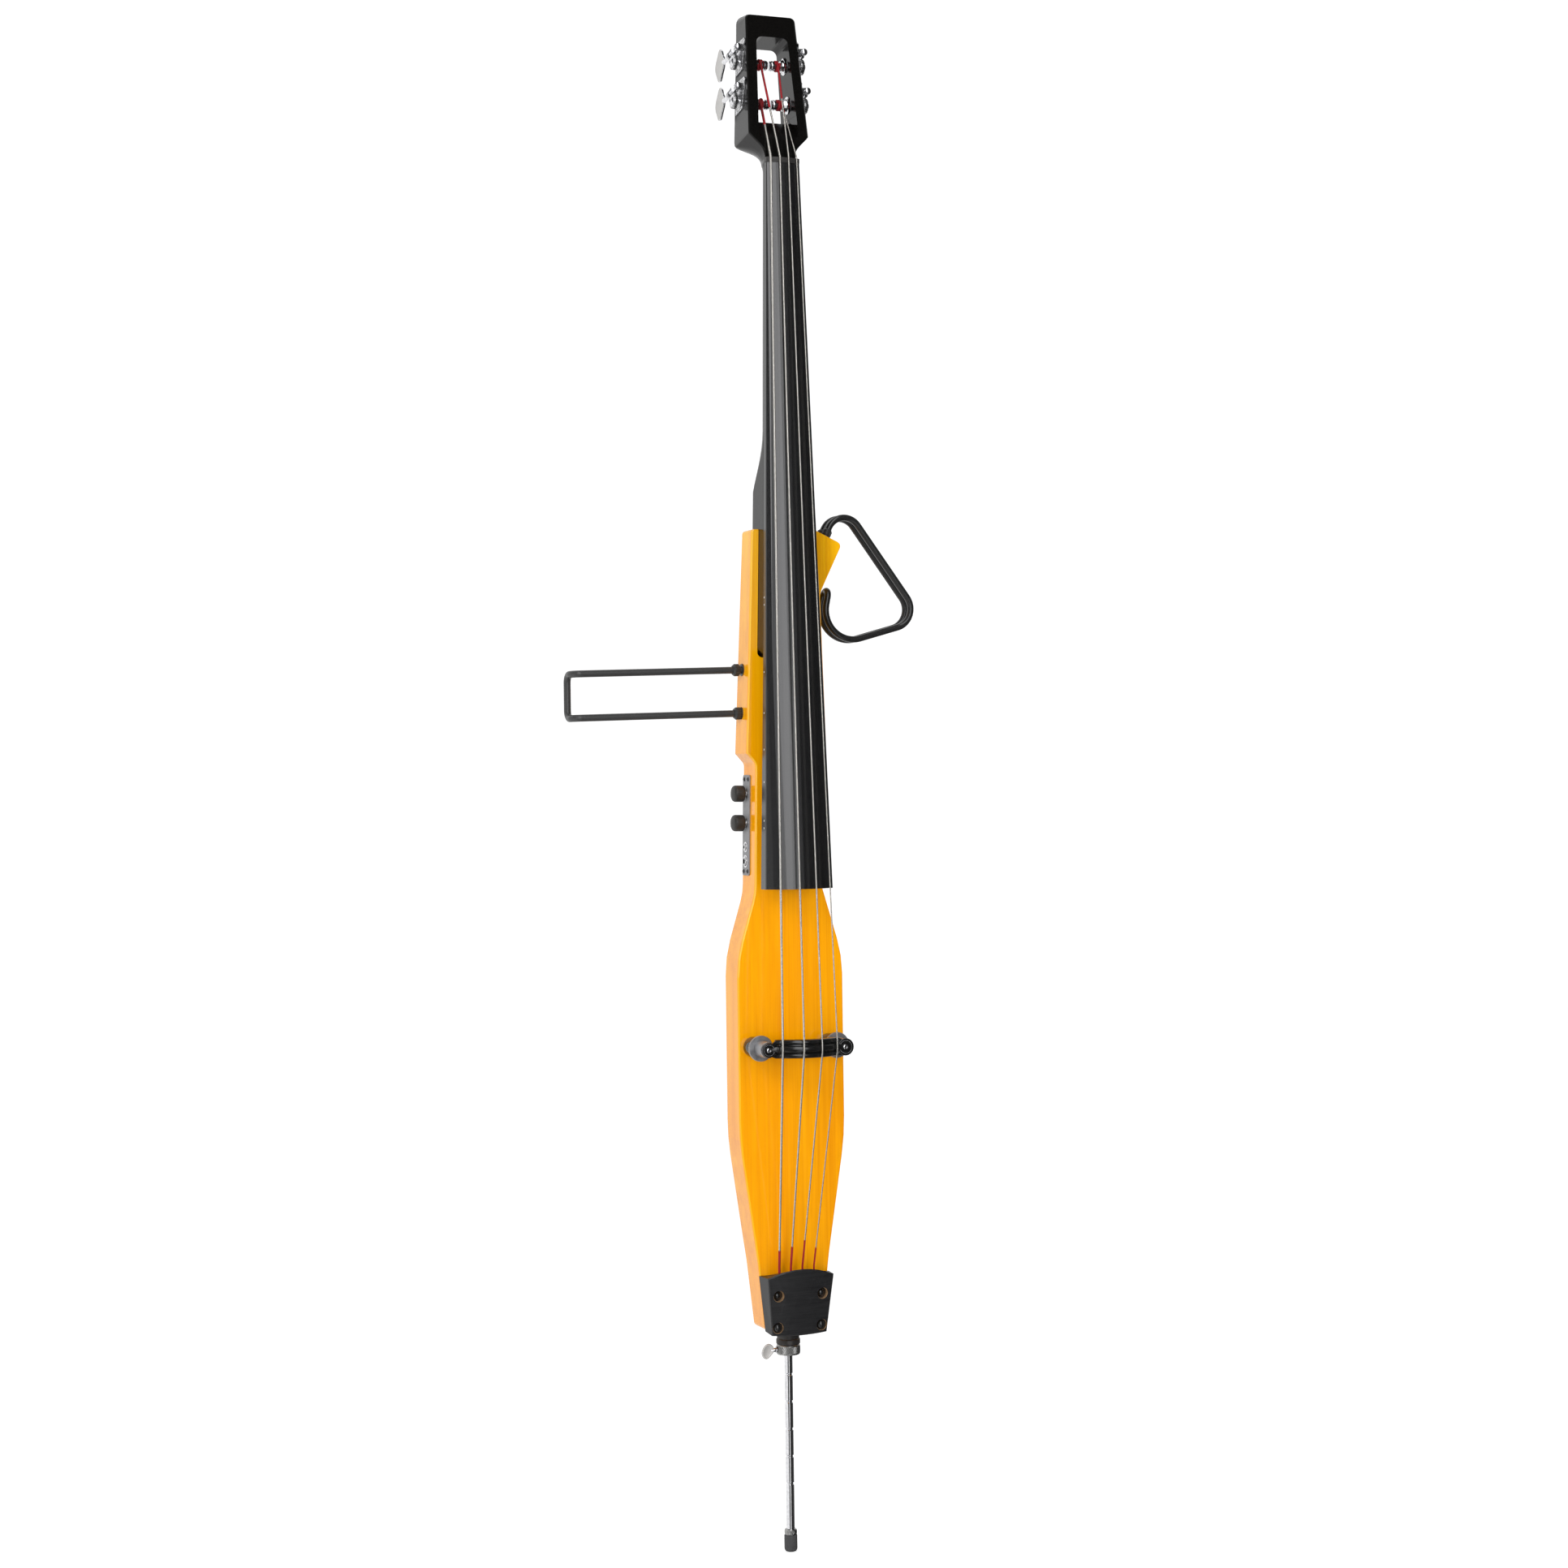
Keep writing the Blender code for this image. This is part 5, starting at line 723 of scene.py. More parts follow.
def key_shaft():
    """The worm and its shaft about y, from the front cap to the flared root of the blade."""
    half = WORM_PITCH * WORM_TURNS / 2
    collar = EAR_BACK + GAP
    angles = ring_angles(24)
    stations = [
        (EAR_FRONT - 0.0030, 0.0004),
        (EAR_FRONT - 0.0030, SHAFT_CAP_RADIUS * 0.6),
        (EAR_FRONT - 0.0022, SHAFT_CAP_RADIUS),
        (EAR_FRONT - 0.0006, SHAFT_CAP_RADIUS),
        (EAR_FRONT - 0.0004, SHAFT_RADIUS),
        (-half - 0.0008, SHAFT_RADIUS),
    ]
    rings = [[(r * math.cos(a), y, r * math.sin(a)) for a in angles] for y, r in stations]
    samples = 16 * WORM_TURNS
    for sample in range(samples + 1):
        y = WORM_PITCH * WORM_TURNS * (sample / samples - 0.5)
        ring = []
        for a in angles:
            r = thread_radius(y / WORM_PITCH + a / (2 * math.pi))
            ring.append((r * math.cos(a), y, r * math.sin(a)))
        rings.append(ring)
    tail = [
        (half + 0.0008, SHAFT_RADIUS, SHAFT_RADIUS, 0),
        (collar, SHAFT_RADIUS, SHAFT_RADIUS, 0),
        (collar + 0.0001, SHAFT_CAP_RADIUS, SHAFT_CAP_RADIUS, 0),
        (collar + 0.0018, SHAFT_CAP_RADIUS, SHAFT_CAP_RADIUS, 0),
        (collar + 0.0022, SHAFT_CAP_RADIUS * 0.80, SHAFT_CAP_RADIUS * 0.80, 0),
        (KEY_START - 0.0080, SHAFT_CAP_RADIUS * 0.84, SHAFT_CAP_RADIUS * 0.90, 0),
        (KEY_START - 0.0030, KEY_THICKNESS * 0.75, KEY_ROOT * 0.42, KEY_RISE / 4),
        (KEY_START, KEY_THICKNESS * 0.62, KEY_ROOT * 0.52, KEY_RISE / 2),
        (KEY_START + 0.0050, KEY_THICKNESS * 0.54, KEY_ROOT * 0.62, KEY_RISE),
        (KEY_START + 0.0090, KEY_THICKNESS * 0.40, KEY_ROOT * 0.40, KEY_RISE),
    ]
    for y, thin, wide, rise in tail:
        rings.append([(thin * math.cos(a), y, wide * math.sin(a) + rise) for a in angles])
    return skin(rings)


def key_blade():
    """A leaning blade with four soft lobes, a flat face and rounded edges."""
    middle = Vector((KEY_START + KEY_LENGTH / 2, KEY_RISE))
    lean = Matrix.Rotation(KEY_LEAN, 2)
    steps = 72
    layers = ((-0.50, 0.96), (-0.46, 0.985), (-0.30, 1.0), (0.30, 1.0), (0.46, 0.985), (0.50, 0.96))
    rings = []
    for thick, size in layers:
        ring = []
        for step in range(steps):
            angle = 2 * math.pi * step / steps
            lobe = (1 + KEY_LOBE * math.cos(4 * angle)) / (1 + KEY_LOBE) * size
            flat = lean @ Vector((KEY_LENGTH / 2 * lobe * math.cos(angle), KEY_HEIGHT / 2 * lobe * math.sin(angle)))
            ring.append((KEY_THICKNESS * thick, middle.x + flat.x, middle.y + flat.y))
        rings.append(ring)
    return skin(rings)


def gear_wheel():
    """The worm wheel about x: its toothed disc, with softened edges."""
    outline = []
    pitch = 2 * math.pi / WHEEL_TEETH
    shape = ((-0.30, WHEEL_ROOT), (-0.12, WHEEL_TIP), (0.12, WHEEL_TIP), (0.30, WHEEL_ROOT))
    for tooth in range(WHEEL_TEETH):
        for share, radius in shape:
            angle = pitch * (tooth + share + 0.25)
            outline.append((radius * math.cos(angle), radius * math.sin(angle)))
    low = WORM_STANDOFF - WHEEL_THICKNESS / 2
    high = WORM_STANDOFF + WHEEL_THICKNESS / 2
    return slab(outline, low, high, 0.0004)


def gear_hub():
    high = WORM_STANDOFF + WHEEL_THICKNESS / 2
    profile = (
        (0, high - 0.0004),
        (0.0070, high - 0.0004),
        (0.0070, high + 0.0003),
        (0.0064, high + 0.0005),
        (0.0052, high + 0.0002),
        (0.0048, high + 0.0012),
        (0.0042, high + 0.0022),
        (0.0030, high + 0.0028),
        (0, high + 0.0029),
    )
    return lathe(profile, 36)


ALONG_X = Matrix.Rotation(math.pi / 2, 4, "Y")


def post_shape(foot):
    """A ringed spool at the slot's middle, the bare post, and its end in the wheel."""
    tip = POST_TIP_X - foot
    profile = [
        (0, tip),
        (0.0048, tip),
        (0.0056, tip + 0.0003),
        (0.0060, tip + 0.0008),
        (0.0060, tip + 0.0013),
        (0.0050, tip + 0.0016),
        (0.0050, tip + 0.0020),
        (0.0064, tip + 0.0024),
        (0.0066, tip + 0.0030),
        (0.0066, tip + 0.0036),
        (0.0053, tip + 0.0040),
        (0.0053, tip + 0.0045),
        (0.0062, tip + 0.0049),
        (0.0062, tip + 0.0056),
        (POST_RADIUS, tip + 0.0061),
        (POST_RADIUS, WORM_STANDOFF),
        (0, WORM_STANDOFF),
    ]
    return moved(lathe(profile, 40), ALONG_X)


def bushing_shape(foot):
    """A flanged sleeve in the slot's inner wall, clear of the post that turns in it."""
    wall = -CHEEK - GAP
    inner = COIL_REACH[1] + 0.0006 - foot
    bore = POST_RADIUS + GAP
    profile = [
        (bore, wall),
        (0.0104, wall),
        (0.0105, wall - 0.0005),
        (0.0098, wall - 0.0011),
        (0.0080, wall - 0.0016),
        (0.0072, wall - 0.0030),
        (0.0070, inner + 0.0010),
        (0.0064, inner),
        (bore, inner),
    ]
    return moved(lathe(profile, 48), ALONG_X)


def small_screw(head, height, y, z, face):
    """A domed screw head about x, standing on a face."""
    profile = (
        (0, face),
        (head, face),
        (head * 0.96, face + height * 0.45),
        (head * 0.72, face + height * 0.85),
        (head * 0.30, face + height),
        (0, face + height),
    )
    return moved(moved(lathe(profile, 24), ALONG_X), Matrix.Translation((0, y, z)))


def recess_shade_strokes(reach, width, y, z, low, high):
    """Two black strokes raised on a screw head: painted shade standing in for the shaded hollow of its cross
    recess.
    """
    strokes = []
    for turn in (0, math.pi / 2):
        stroke = slab([(-reach, -width), (reach, -width), (reach, width), (-reach, width)], low, high)
        spin = Matrix.Rotation(turn + 0.6, 4, "X")
        strokes.append(moved(stroke, Matrix.Translation((0, y, z)) @ spin))
    return merged(*strokes)


def build_tuners():
    for number, name in enumerate(STRING_NAMES):
        place, lift = tuner_frame(name)
        foot = abs(place.translation.x)
        body = f"tuner_post_{name}"
        at_worm = place @ Matrix.Translation((WORM_STANDOFF, 0, lift))
        piece(f"key_shaft_{name}", moved(key_shaft(), at_worm), CHROME, f"tuner_key_{name}", (f"tuner_key_{name}",))
        blade = moved(key_blade(), at_worm)
        side = place.to_3x3().col[0].normalized()

        def slot(face, side=side):
            return 0 if abs(face.normal.dot(side)) > 0.8 else 1

        piece(f"key_blade_{name}", blade, (SATIN, CHROME), f"tuner_key_{name}", angle=30, choose=slot)
        piece(f"post_spool_{name}", moved(post_shape(foot), place), CHROME, body, (body,))
        piece(f"gear_teeth_{name}", moved(gear_wheel(), place), WORN_CHROME, body, angle=25)
        piece(f"gear_hub_{name}", moved(moved(gear_hub(), ALONG_X), place), CHROME, body)
        high = WORM_STANDOFF + WHEEL_THICKNESS / 2
        # Painted shade: black strokes on the hub's screw for its shaded recess.
        hub_recess_shade = recess_shade_strokes(0.0021, 0.0004, 0, 0, high + 0.0022, high + 0.0031)
        piece(f"gear_recess_shade_{name}", moved(hub_recess_shade, place), SCREW_BLACK, body)
        piece(f"post_bushing_{name}", moved(bushing_shape(foot), place), CHROME, "instrument")
        screws = []
        screw_recess_shades = []
        for y, z in PLATE_SCREWS:
            screws.append(small_screw(0.0017, 0.0009, y, z, PLATE_FACE))
            # Painted shade: black strokes on each plate screw for its shaded recess.
            screw_recess_shades.append(recess_shade_strokes(0.0009, 0.0002, y, z, PLATE_FACE + 0.0006, PLATE_FACE + 0.00095))
        piece(f"plate_screws_{name}", moved(merged(*screws), place), CHROME, "instrument")
        piece(f"plate_recess_shade_{name}", moved(merged(*screw_recess_shades), place), SCREW_BLACK, "instrument")
        centre_y = sum(y for y, z in PLATE_OUTLINE) / len(PLATE_OUTLINE)
        centre_z = sum(z for y, z in PLATE_OUTLINE) / len(PLATE_OUTLINE)
        inner = []
        for y, z in PLATE_OUTLINE:
            inner.append((between(centre_y, y, 0.84), between(centre_z, z, 0.88)))
        raised = slab(inner, PLATE_FACE, PLATE_FACE + 0.0005, 0.0002)
        opening = raised
        piece(f"plate_step_{name}", moved(opening, place), WORN_CHROME, "instrument", angle=25)


# Bridge


def beam_crown_height(x):
    inner = BRIDGE_SPACING / 2
    outer = BRIDGE_SPACING * 1.5
    low = OUTER_BRIDGE_HEIGHT - STRING_RADII[0] - BEAM_GAP
    high = INNER_BRIDGE_HEIGHT - STRING_RADII[1] - BEAM_GAP
    curve = (high - low) / (outer ** 2 - inner ** 2)
    across = x - BRIDGE_STRING_SHIFT
    return max(high + curve * (inner ** 2 - across ** 2), BOSS_FRONT_HEIGHT + 0.0015)


def beam_section(x):
    """A section across the beam: a rounded crest between two lower rails with round shoulders."""
    crest = beam_crown_height(x)
    rail = crest - 0.0022
    under = max(crest - BEAM_DEPTH, BEAM_UNDER_HEIGHT)
    half = BEAM_WIDTH / 2
    right = [(0, crest), (0.12, crest - 0.00015), (0.22, crest - 0.0006), (0.30, crest - 0.0014)]
    right += [(0.36, rail - 0.0018), (0.44, rail - 0.0021), (0.50, rail - 0.0012), (0.56, rail - 0.0003)]
    right += [(0.66, rail), (0.80, rail - 0.0002), (0.91, rail - 0.0009), (0.98, rail - 0.0022)]
    right += [(1.0, rail - 0.0034), (1.0, under + 0.002), (0.94, under + 0.0006), (0.82, under)]
    left = [(-across, height) for across, height in reversed(right)]
    places = left[:-1] + right
    middle = BRIDGE_Z + BEAM_LIFT
    return [(x, FRONT_Y - height, middle + across * half) for across, height in places]


def boss_shape(x, radius):
    """A round boss with a raised rim and a sunk face for its bolt."""
    back = BOSS_BACK_HEIGHT
    front = BOSS_FRONT_HEIGHT
    profile = (
        (0, back),
        (radius - 0.0005, back),
        (radius, back + 0.0005),
        (radius, front - 0.0008),
        (radius - 0.0003, front - 0.0002),
        (radius - 0.0009, front),
        (radius * 0.80, front),
        (radius * 0.77, front - 0.0007),
        (radius * 0.71, front - 0.0007),
        (radius * 0.68, front - 0.0001),
        (0.0050, front - 0.0001),
        (0.0046, front - 0.0012),
        (0, front - 0.0012),
    )
    return moved(lathe(profile, 64), upright((x, FRONT_Y, BRIDGE_Z), (0, -1, 0)))


def arm_section(side, radius, share):
    """A section of the arm that carries the beam's end over to its boss."""
    end = side * BEAM_HALF_LENGTH
    reach = STUD_X - radius * 0.4
    x = side * between(BEAM_HALF_LENGTH, reach, share)
    grow = between(1.0, radius * 0.93 / (BEAM_WIDTH / 2), share)
    lift = BRIDGE_Z + BEAM_LIFT
    section = []
    for _, y, z in beam_section(end):
        height = FRONT_Y - y
        if height > BOSS_BACK_HEIGHT + 0.0003:
            height = between(height, BOSS_FRONT_HEIGHT - 0.0003, share ** 0.6)
        height = max(height, BOSS_BACK_HEIGHT + 0.0003)
        section.append((x, FRONT_Y - height, lift - BEAM_LIFT * share + (z - lift) * grow))
    return section


def build_bridge():
    columns = 60
    shares = (0.03, 0.15, 0.30, 0.45, 0.60, 0.80, 1.0)
    bass_radius, treble_radius = BOSS_RADII
    rings = [arm_section(-1, bass_radius, share) for share in reversed(shares)]
    for column in range(columns + 1):
        rings.append(beam_section(BEAM_HALF_LENGTH * (2 * column / columns - 1)))
    rings += [arm_section(1, treble_radius, share) for share in shares]
    parts = [skin(rings)]
    for side, radius in zip((-1, 1), BOSS_RADII):
        parts.append(boss_shape(side * STUD_X, radius))
    piece("bridge_bar", merged(*parts), BEAM_BLACK, "bridge", ("bridge_beam",), angle=50)
    for side, x, radius in zip(("bass", "treble"), (-STUD_X, STUD_X), BOSS_RADII):
        ring = (
            (radius * 0.70, BOSS_FRONT_HEIGHT - 0.0007),
            (radius * 0.79, BOSS_FRONT_HEIGHT - 0.0007),
            (radius * 0.77, BOSS_FRONT_HEIGHT - 0.0001),
            (radius * 0.72, BOSS_FRONT_HEIGHT - 0.0001),
        )
        place = upright((x, FRONT_Y, BRIDGE_Z), (0, -1, 0))
        piece(f"boss_ring_{side}", moved(lathe(ring, 64), place), BRUSHED, "bridge")
        seat = BOSS_FRONT_HEIGHT - 0.0014
        head = BRIDGE_BOLT_HEAD
        bolt = (
            (0, seat - 0.0040),
            (head * 0.6, seat - 0.0040),
            (head * 0.6, seat),
            (head, seat),
            (head, seat + 0.0012),
            (head * 0.88, seat + 0.0020),
            (head * 0.62, seat + 0.0023),
            (head * 0.46, seat + 0.0022),
            (head * 0.42, seat + 0.0010),
            (0, seat + 0.0008),
        )
        name = f"bridge_bolt_{side}"
        piece(f"{name}_head", moved(lathe(bolt, 36), place), CHROME, "bridge", (name,))
        build_stud(side, x)
        build_bridge_wheel(side, x)


def build_stud(side, x):
    base = STUD_BASE_RADIUS
    top = STUD_BASE_HEIGHT
    profile = (
        (0, 0.0004),
        (base - 0.0006, GAP),
        (base, 0.0009),
        (base, top - 0.0012),
        (base - 0.0004, top - 0.0004),
        (base - 0.0012, top),
        (STUD_THREAD_RADIUS, top),
        (STUD_THREAD_RADIUS, BOSS_BACK_HEIGHT - 0.0065),
        (0, BOSS_BACK_HEIGHT - 0.0065),
    )
    place = upright((x, FRONT_Y, BRIDGE_Z), (0, -1, 0))
    name = f"bridge_stud_{side}"
    piece(f"{name}_post", moved(lathe(profile, 64), place), SCREW_BLACK, "instrument", (name,))


def build_bridge_wheel(side, x):
    """A height wheel: a rim with fine grips, and a turned hub in front of it."""
    bore = STUD_THREAD_RADIUS + SLIDE_GAP
    rim = BRIDGE_WHEEL_RADIUS
    thick = BRIDGE_WHEEL_THICKNESS
    profile = (
        (bore, 0),
        (rim - 0.0008, 0),
        (rim, 0.0006),
        (rim, 0.0020),
        (rim, thick - 0.0006),
        (rim - 0.0008, thick),
        (BRIDGE_WHEEL_HUB + 0.0008, thick + 0.0001),
        (bore, thick + 0.0001),
    )
    place = upright((x, FRONT_Y - WHEEL_HEIGHT, BRIDGE_Z), (0, -1, 0))
    name = f"bridge_wheel_{side}"
    wheel = grooved(profile, 60, 0.0005, 0.0006, thick - 0.0006)
    piece(f"{name}_rim", moved(wheel, place), BRUSHED, name, (name,), angle=25)
    hub_end = BOSS_BACK_HEIGHT - WHEEL_HEIGHT - GAP
    hub = (
        (bore, thick),
        (BRIDGE_WHEEL_HUB, thick),
        (BRIDGE_WHEEL_HUB, hub_end - 0.0006),
        (BRIDGE_WHEEL_HUB - 0.0006, hub_end),
        (bore, hub_end),
    )
    piece(f"{name}_hub", moved(lathe(hub, 64), place), BRUSHED, name)


# Tail screws, spike and collar


def build_tail_screws():
    number = 0
    for z in reversed(TAIL_SCREW_Z):
        for x in (-TAIL_SCREW_X, TAIL_SCREW_X):
            number += 1
            seat = TAIL_SEAT_HEIGHT + GAP
            head = 0.0051
            profile = [(0, seat), (head * 0.97, seat)]
            for step in range(9):
                angle = math.radians(74) * step / 8
                profile.append((head * math.cos(angle), seat + 0.0006 + 0.0042 * math.sin(angle)))
            profile.append((0, seat + 0.0048))
            place = upright((x, FRONT_Y, z), (0, -1, 0))
            screw = moved(lathe(profile, 40), place)
            piece(f"tail_screw_head_{number}", screw, SCREW_BLACK, "instrument", (f"tail_screw_{number}",))
            # Painted light: a thin bronze-coloured lining in each counterbore, standing in for its lit wall.
            wall = TAIL_COUNTERBORE - 0.0002
            rise = 0.0070 if z == max(TAIL_SCREW_Z) else 0.0026
            ring = (
                (wall, seat),
                (wall, seat + rise),
                (wall - 0.0003, seat + rise),
                (wall - 0.0003, seat),
            )
            piece(f"tail_screw_wall_{number}", moved(lathe(ring, 40), place), LIT_WALL_BRONZE, "instrument")


def build_spike():
    profile = [(0, 0.006), (SPIKE_RADIUS - 0.001, 0.006), (SPIKE_RADIUS, 0.007)]
    groove = SPIKE_RADIUS - 0.0009
    for number in reversed(range(SPIKE_GROOVES)):
        z = SPIKE_GROOVE_TOP_Z - number * SPIKE_GROOVE_PITCH
        profile += [(SPIKE_RADIUS, z - 0.0016), (SPIKE_RADIUS - 0.0003, z - 0.0013)]
        profile += [(groove, z - 0.0007), (groove, z + 0.0007)]
        profile += [(SPIKE_RADIUS - 0.0003, z + 0.0013), (SPIKE_RADIUS, z + 0.0016)]
    profile += [(SPIKE_RADIUS, SPIKE_TOP_Z - 0.001), (SPIKE_RADIUS - 0.001, SPIKE_TOP_Z), (0, SPIKE_TOP_Z)]
    piece("spike_rod", lathe(profile, 48), CHROME, "spike", ("endpin_rod",))
    bore = SPIKE_RADIUS + GAP
    tip = [(0, 0), (TIP_RADIUS - 0.0034, 0), (TIP_RADIUS - 0.0016, 0.0006), (TIP_RADIUS - 0.0004, 0.0022)]
    tip += [(TIP_RADIUS, 0.0042), (TIP_RADIUS, TIP_HEIGHT - 0.0012), (TIP_RADIUS - 0.0006, TIP_HEIGHT - 0.0002)]
    tip += [(bore, TIP_HEIGHT), (bore, 0.0057), (0, 0.0057)]
    piece("tip_foot", lathe(tip, 48), RUBBER, "spike", ("rubber_tip",))
    rings = knurled(FERRULE_RADIUS, TIP_HEIGHT + GAP, FERRULE_TOP_Z - 0.0008, 0.0003, 26, 6)
    rings.append([(x * 0.90, y * 0.90, FERRULE_TOP_Z) for x, y, z in rings[0]])
    ferrule = [[(x * 0.72, y * 0.72, z) for x, y, z in reversed_ring] for reversed_ring in (rings[-1], rings[0])]
    piece("tip_ferrule", skin(rings + ferrule, closed=True), KNURL, "spike", ("endpin_ferrule",), angle=20)


def build_collar():
    bore = SPIKE_RADIUS + SLIDE_GAP
    low = COLLAR_FOOT_Z + 0.0010
    high = COLLAR_TOP_Z - 0.0010
    rings = knurled(COLLAR_RADIUS, low, high, 0.0005, 44, 10)
    shrink = (COLLAR_RADIUS - 0.0013) / (COLLAR_RADIUS - 0.0005)
    top = [(x * shrink, y * shrink, COLLAR_TOP_Z) for x, y, z in rings[-1]]
    foot = [(x * shrink, y * shrink, COLLAR_FOOT_Z) for x, y, z in rings[0]]
    inner = bore / (COLLAR_RADIUS - 0.0005)
    top_in = [(x * inner, y * inner, COLLAR_TOP_Z) for x, y, z in rings[-1]]
    foot_in = [(x * inner, y * inner, COLLAR_FOOT_Z) for x, y, z in rings[0]]
    solid = skin([foot, *rings, top, top_in, foot_in], closed=True)
    piece("collar_knurl", solid, KNURL, "instrument", ("endpin_collar",), angle=20)
    plug = (
        (bore, COLLAR_TOP_Z + GAP),
        (PLUG_FLANGE_RADIUS - 0.0008, COLLAR_TOP_Z + GAP),
        (PLUG_FLANGE_RADIUS, COLLAR_TOP_Z + 0.0012),
        (PLUG_FLANGE_RADIUS, PLUG_FLANGE_Z - 0.0008),
        (PLUG_FLANGE_RADIUS - 0.0006, PLUG_FLANGE_Z),
        (PLUG_RADIUS - 0.0004, PLUG_FLANGE_Z + 0.0004),
        (PLUG_RADIUS - 0.0002, PLUG_FLANGE_Z + 0.0016),
        (PLUG_RADIUS, BODY_FOOT_Z - GAP),
        (0.011, BODY_FOOT_Z - GAP),
        (0.011, BODY_FOOT_Z + 0.038),
        (bore, BODY_FOOT_Z + 0.038),
    )
    piece("plug_black", lathe(plug, 56), PLASTIC, "instrument", ("endpin_plug",))


THUMB_OUTLINE = (
    (0.0000, 0.0022),
    (0.0020, 0.0056),
    (0.0056, 0.0082),
    (0.0098, 0.0074),
    (0.0136, 0.0036),
    (0.0158, -0.0020),
    (0.0150, -0.0074),
    (0.0112, -0.0106),
    (0.0070, -0.0096),
    (0.0032, -0.0052),
    (0.0002, -0.0022),
)


def smooth_outline(corners, rounds=3):
    """Corner cutting, which turns a few points into a soft outline."""
    points = [Vector(corner) for corner in corners]
    for _ in range(rounds):
        softer = []
        for index, point in enumerate(points):
            following = points[(index + 1) % len(points)]
            softer.append(point.lerp(following, 0.25))
            softer.append(point.lerp(following, 0.75))
        points = softer
    return points


def build_thumb_screw():
    """A pear-shaped paddle with a dished face, on a shank that goes into the collar."""
    middle = (COLLAR_FOOT_Z + COLLAR_TOP_Z) / 2
    outline = smooth_outline(THUMB_OUTLINE)
    centre = Vector((0.0090, -0.0014))
    rings = []
    layers = ((-0.0016, 0.80), (-0.0021, 0.88), (-0.0019, 0.96), (-0.0010, 1.0), (0.0010, 1.0))
    layers += ((0.0019, 0.96), (0.0021, 0.88), (0.0016, 0.80))
    for deep, size in layers:
        ring = []
        for point in outline:
            flat = centre + (point - centre) * size
            ring.append((-THUMB_START_X - flat.x, deep, middle + flat.y))
        rings.append(ring)
    piece("thumb_paddle", skin(rings), SATIN, "thumb_screw", ("thumb_screw",), angle=45)
    shank = (
        (0, SPIKE_RADIUS + SLIDE_GAP),
        (0.0024, SPIKE_RADIUS + SLIDE_GAP),
        (0.0024, COLLAR_RADIUS + GAP),
        (0.0040, COLLAR_RADIUS + GAP),
        (0.0042, COLLAR_RADIUS + 0.0008),
        (0.0040, COLLAR_RADIUS + 0.0016),
        (0.0028, COLLAR_RADIUS + 0.0020),
        (0.0026, THUMB_START_X + 0.0010),
        (0.0018, THUMB_START_X + 0.0040),
        (0, THUMB_START_X + 0.0044),
    )
    place = upright((0, 0, middle), (-1, 0, 0))
    piece("thumb_shank", moved(lathe(shank, 32), place), CHROME, "thumb_screw")


# Controls


def flank_frame(joint):
    """A frame at a knob's foot, with z out of the flank."""
    return upright(joints[joint]["pos_m"], joints[joint]["axis"])


def build_knobs():
    for name in ("volume", "tone"):
        joint = joints[f"{name}_turn"]
        profile = [
            (0, -0.0080),
            (KNOB_SHAFT_RADIUS, -0.0080),
            (KNOB_SHAFT_RADIUS, 0.0002),
            (KNOB_RADIUS - 0.0022, 0.0002),
            (KNOB_RADIUS - 0.0010, 0.0006),
            (KNOB_RADIUS - 0.0002, 0.0016),
            (KNOB_RADIUS, 0.0030),
            (KNOB_RADIUS, 0.0080),
            (KNOB_RADIUS, KNOB_LENGTH - 0.0048),
        ]
        for step in range(1, 9):
            angle = math.pi / 2 * step / 8
            wide = KNOB_RADIUS - 0.0034 * (1 - math.cos(angle)) - 0.0002 * step / 8
            profile.append((wide, KNOB_LENGTH - 0.0048 + 0.0038 * math.sin(angle)))
        profile += [(0.0040, KNOB_LENGTH - 0.0003), (0, KNOB_LENGTH)]
        place = upright(joint["pos_m"], joint["axis"])
        item = f"{name}_knob"
        piece(f"{name}_cap", moved(lathe(profile, 72), place), KNOB_BLACK, item, (item,), angle=50)
        nut = (
            (KNOB_SHAFT_RADIUS + GAP, -KNOB_LIFT + 0.0002),
            (0.0062, -KNOB_LIFT + 0.0002),
            (0.0062, -KNOB_LIFT + 0.0010),
            (0.0048, -KNOB_LIFT + 0.0012),
            (0.0048, -0.0004),
            (KNOB_SHAFT_RADIUS + GAP, -0.0004),
        )
        piece(f"{name}_bush", moved(lathe(nut, 6 * 6), place), WORN_CHROME, "instrument")


def build_panel_details():
    """Corner screws and the rings round the sockets, on the panel's slope."""
    axis = Vector(joints["tone_turn"]["axis"]).normalized()
    upper = Vector(joints["volume_turn"]["pos_m"])
    lower = Vector(joints["tone_turn"]["pos_m"])
    along = (upper - lower).normalized()
    if along.z < 0:
        along = -along

    def face_point(z, y=PANEL_Y):
        share = (z - lower.z) / along.z
        point = lower + along * share - axis * KNOB_LIFT
        point.y = y
        return point

    for number, z in enumerate((PANEL_FOOT_Z + 0.0050, PANEL_TOP_Z - 0.0050), start=1):
        place = upright(face_point(z, PANEL_Y - PANEL_WIDTH / 2 + 0.0048), axis)
        head = (
            (0, 0.0001),
            (0.0026, 0.0001),
            (0.0025, 0.0008),
            (0.0017, 0.0014),
            (0.0009, 0.0015),
            (0.0007, 0.0008),
            (0, 0.0008),
        )
        piece(f"panel_screw_{number}", moved(lathe(head, 28), place), SCREW_BLACK, "instrument")
        place = upright(face_point(z, PANEL_Y + PANEL_WIDTH / 2 - 0.0048), axis)
        piece(f"panel_screw_{number + 2}", moved(lathe(head, 28), place), SCREW_BLACK, "instrument")
    for number, (z, radius) in enumerate(zip(JACK_Z, JACK_RADII), start=1):
        place = upright(face_point(z), axis)
        ring = (
            (radius + 0.0014, 0.0001),
            (radius + 0.0030, 0.0001),
            (radius + 0.0030, 0.0006),
            (radius + 0.0024, 0.0009),
            (radius + 0.0014, 0.0009),
        )
        piece(f"socket_ring_{number}", moved(lathe(ring, 48), place), CHROME, "instrument")


# Rods and their nuts


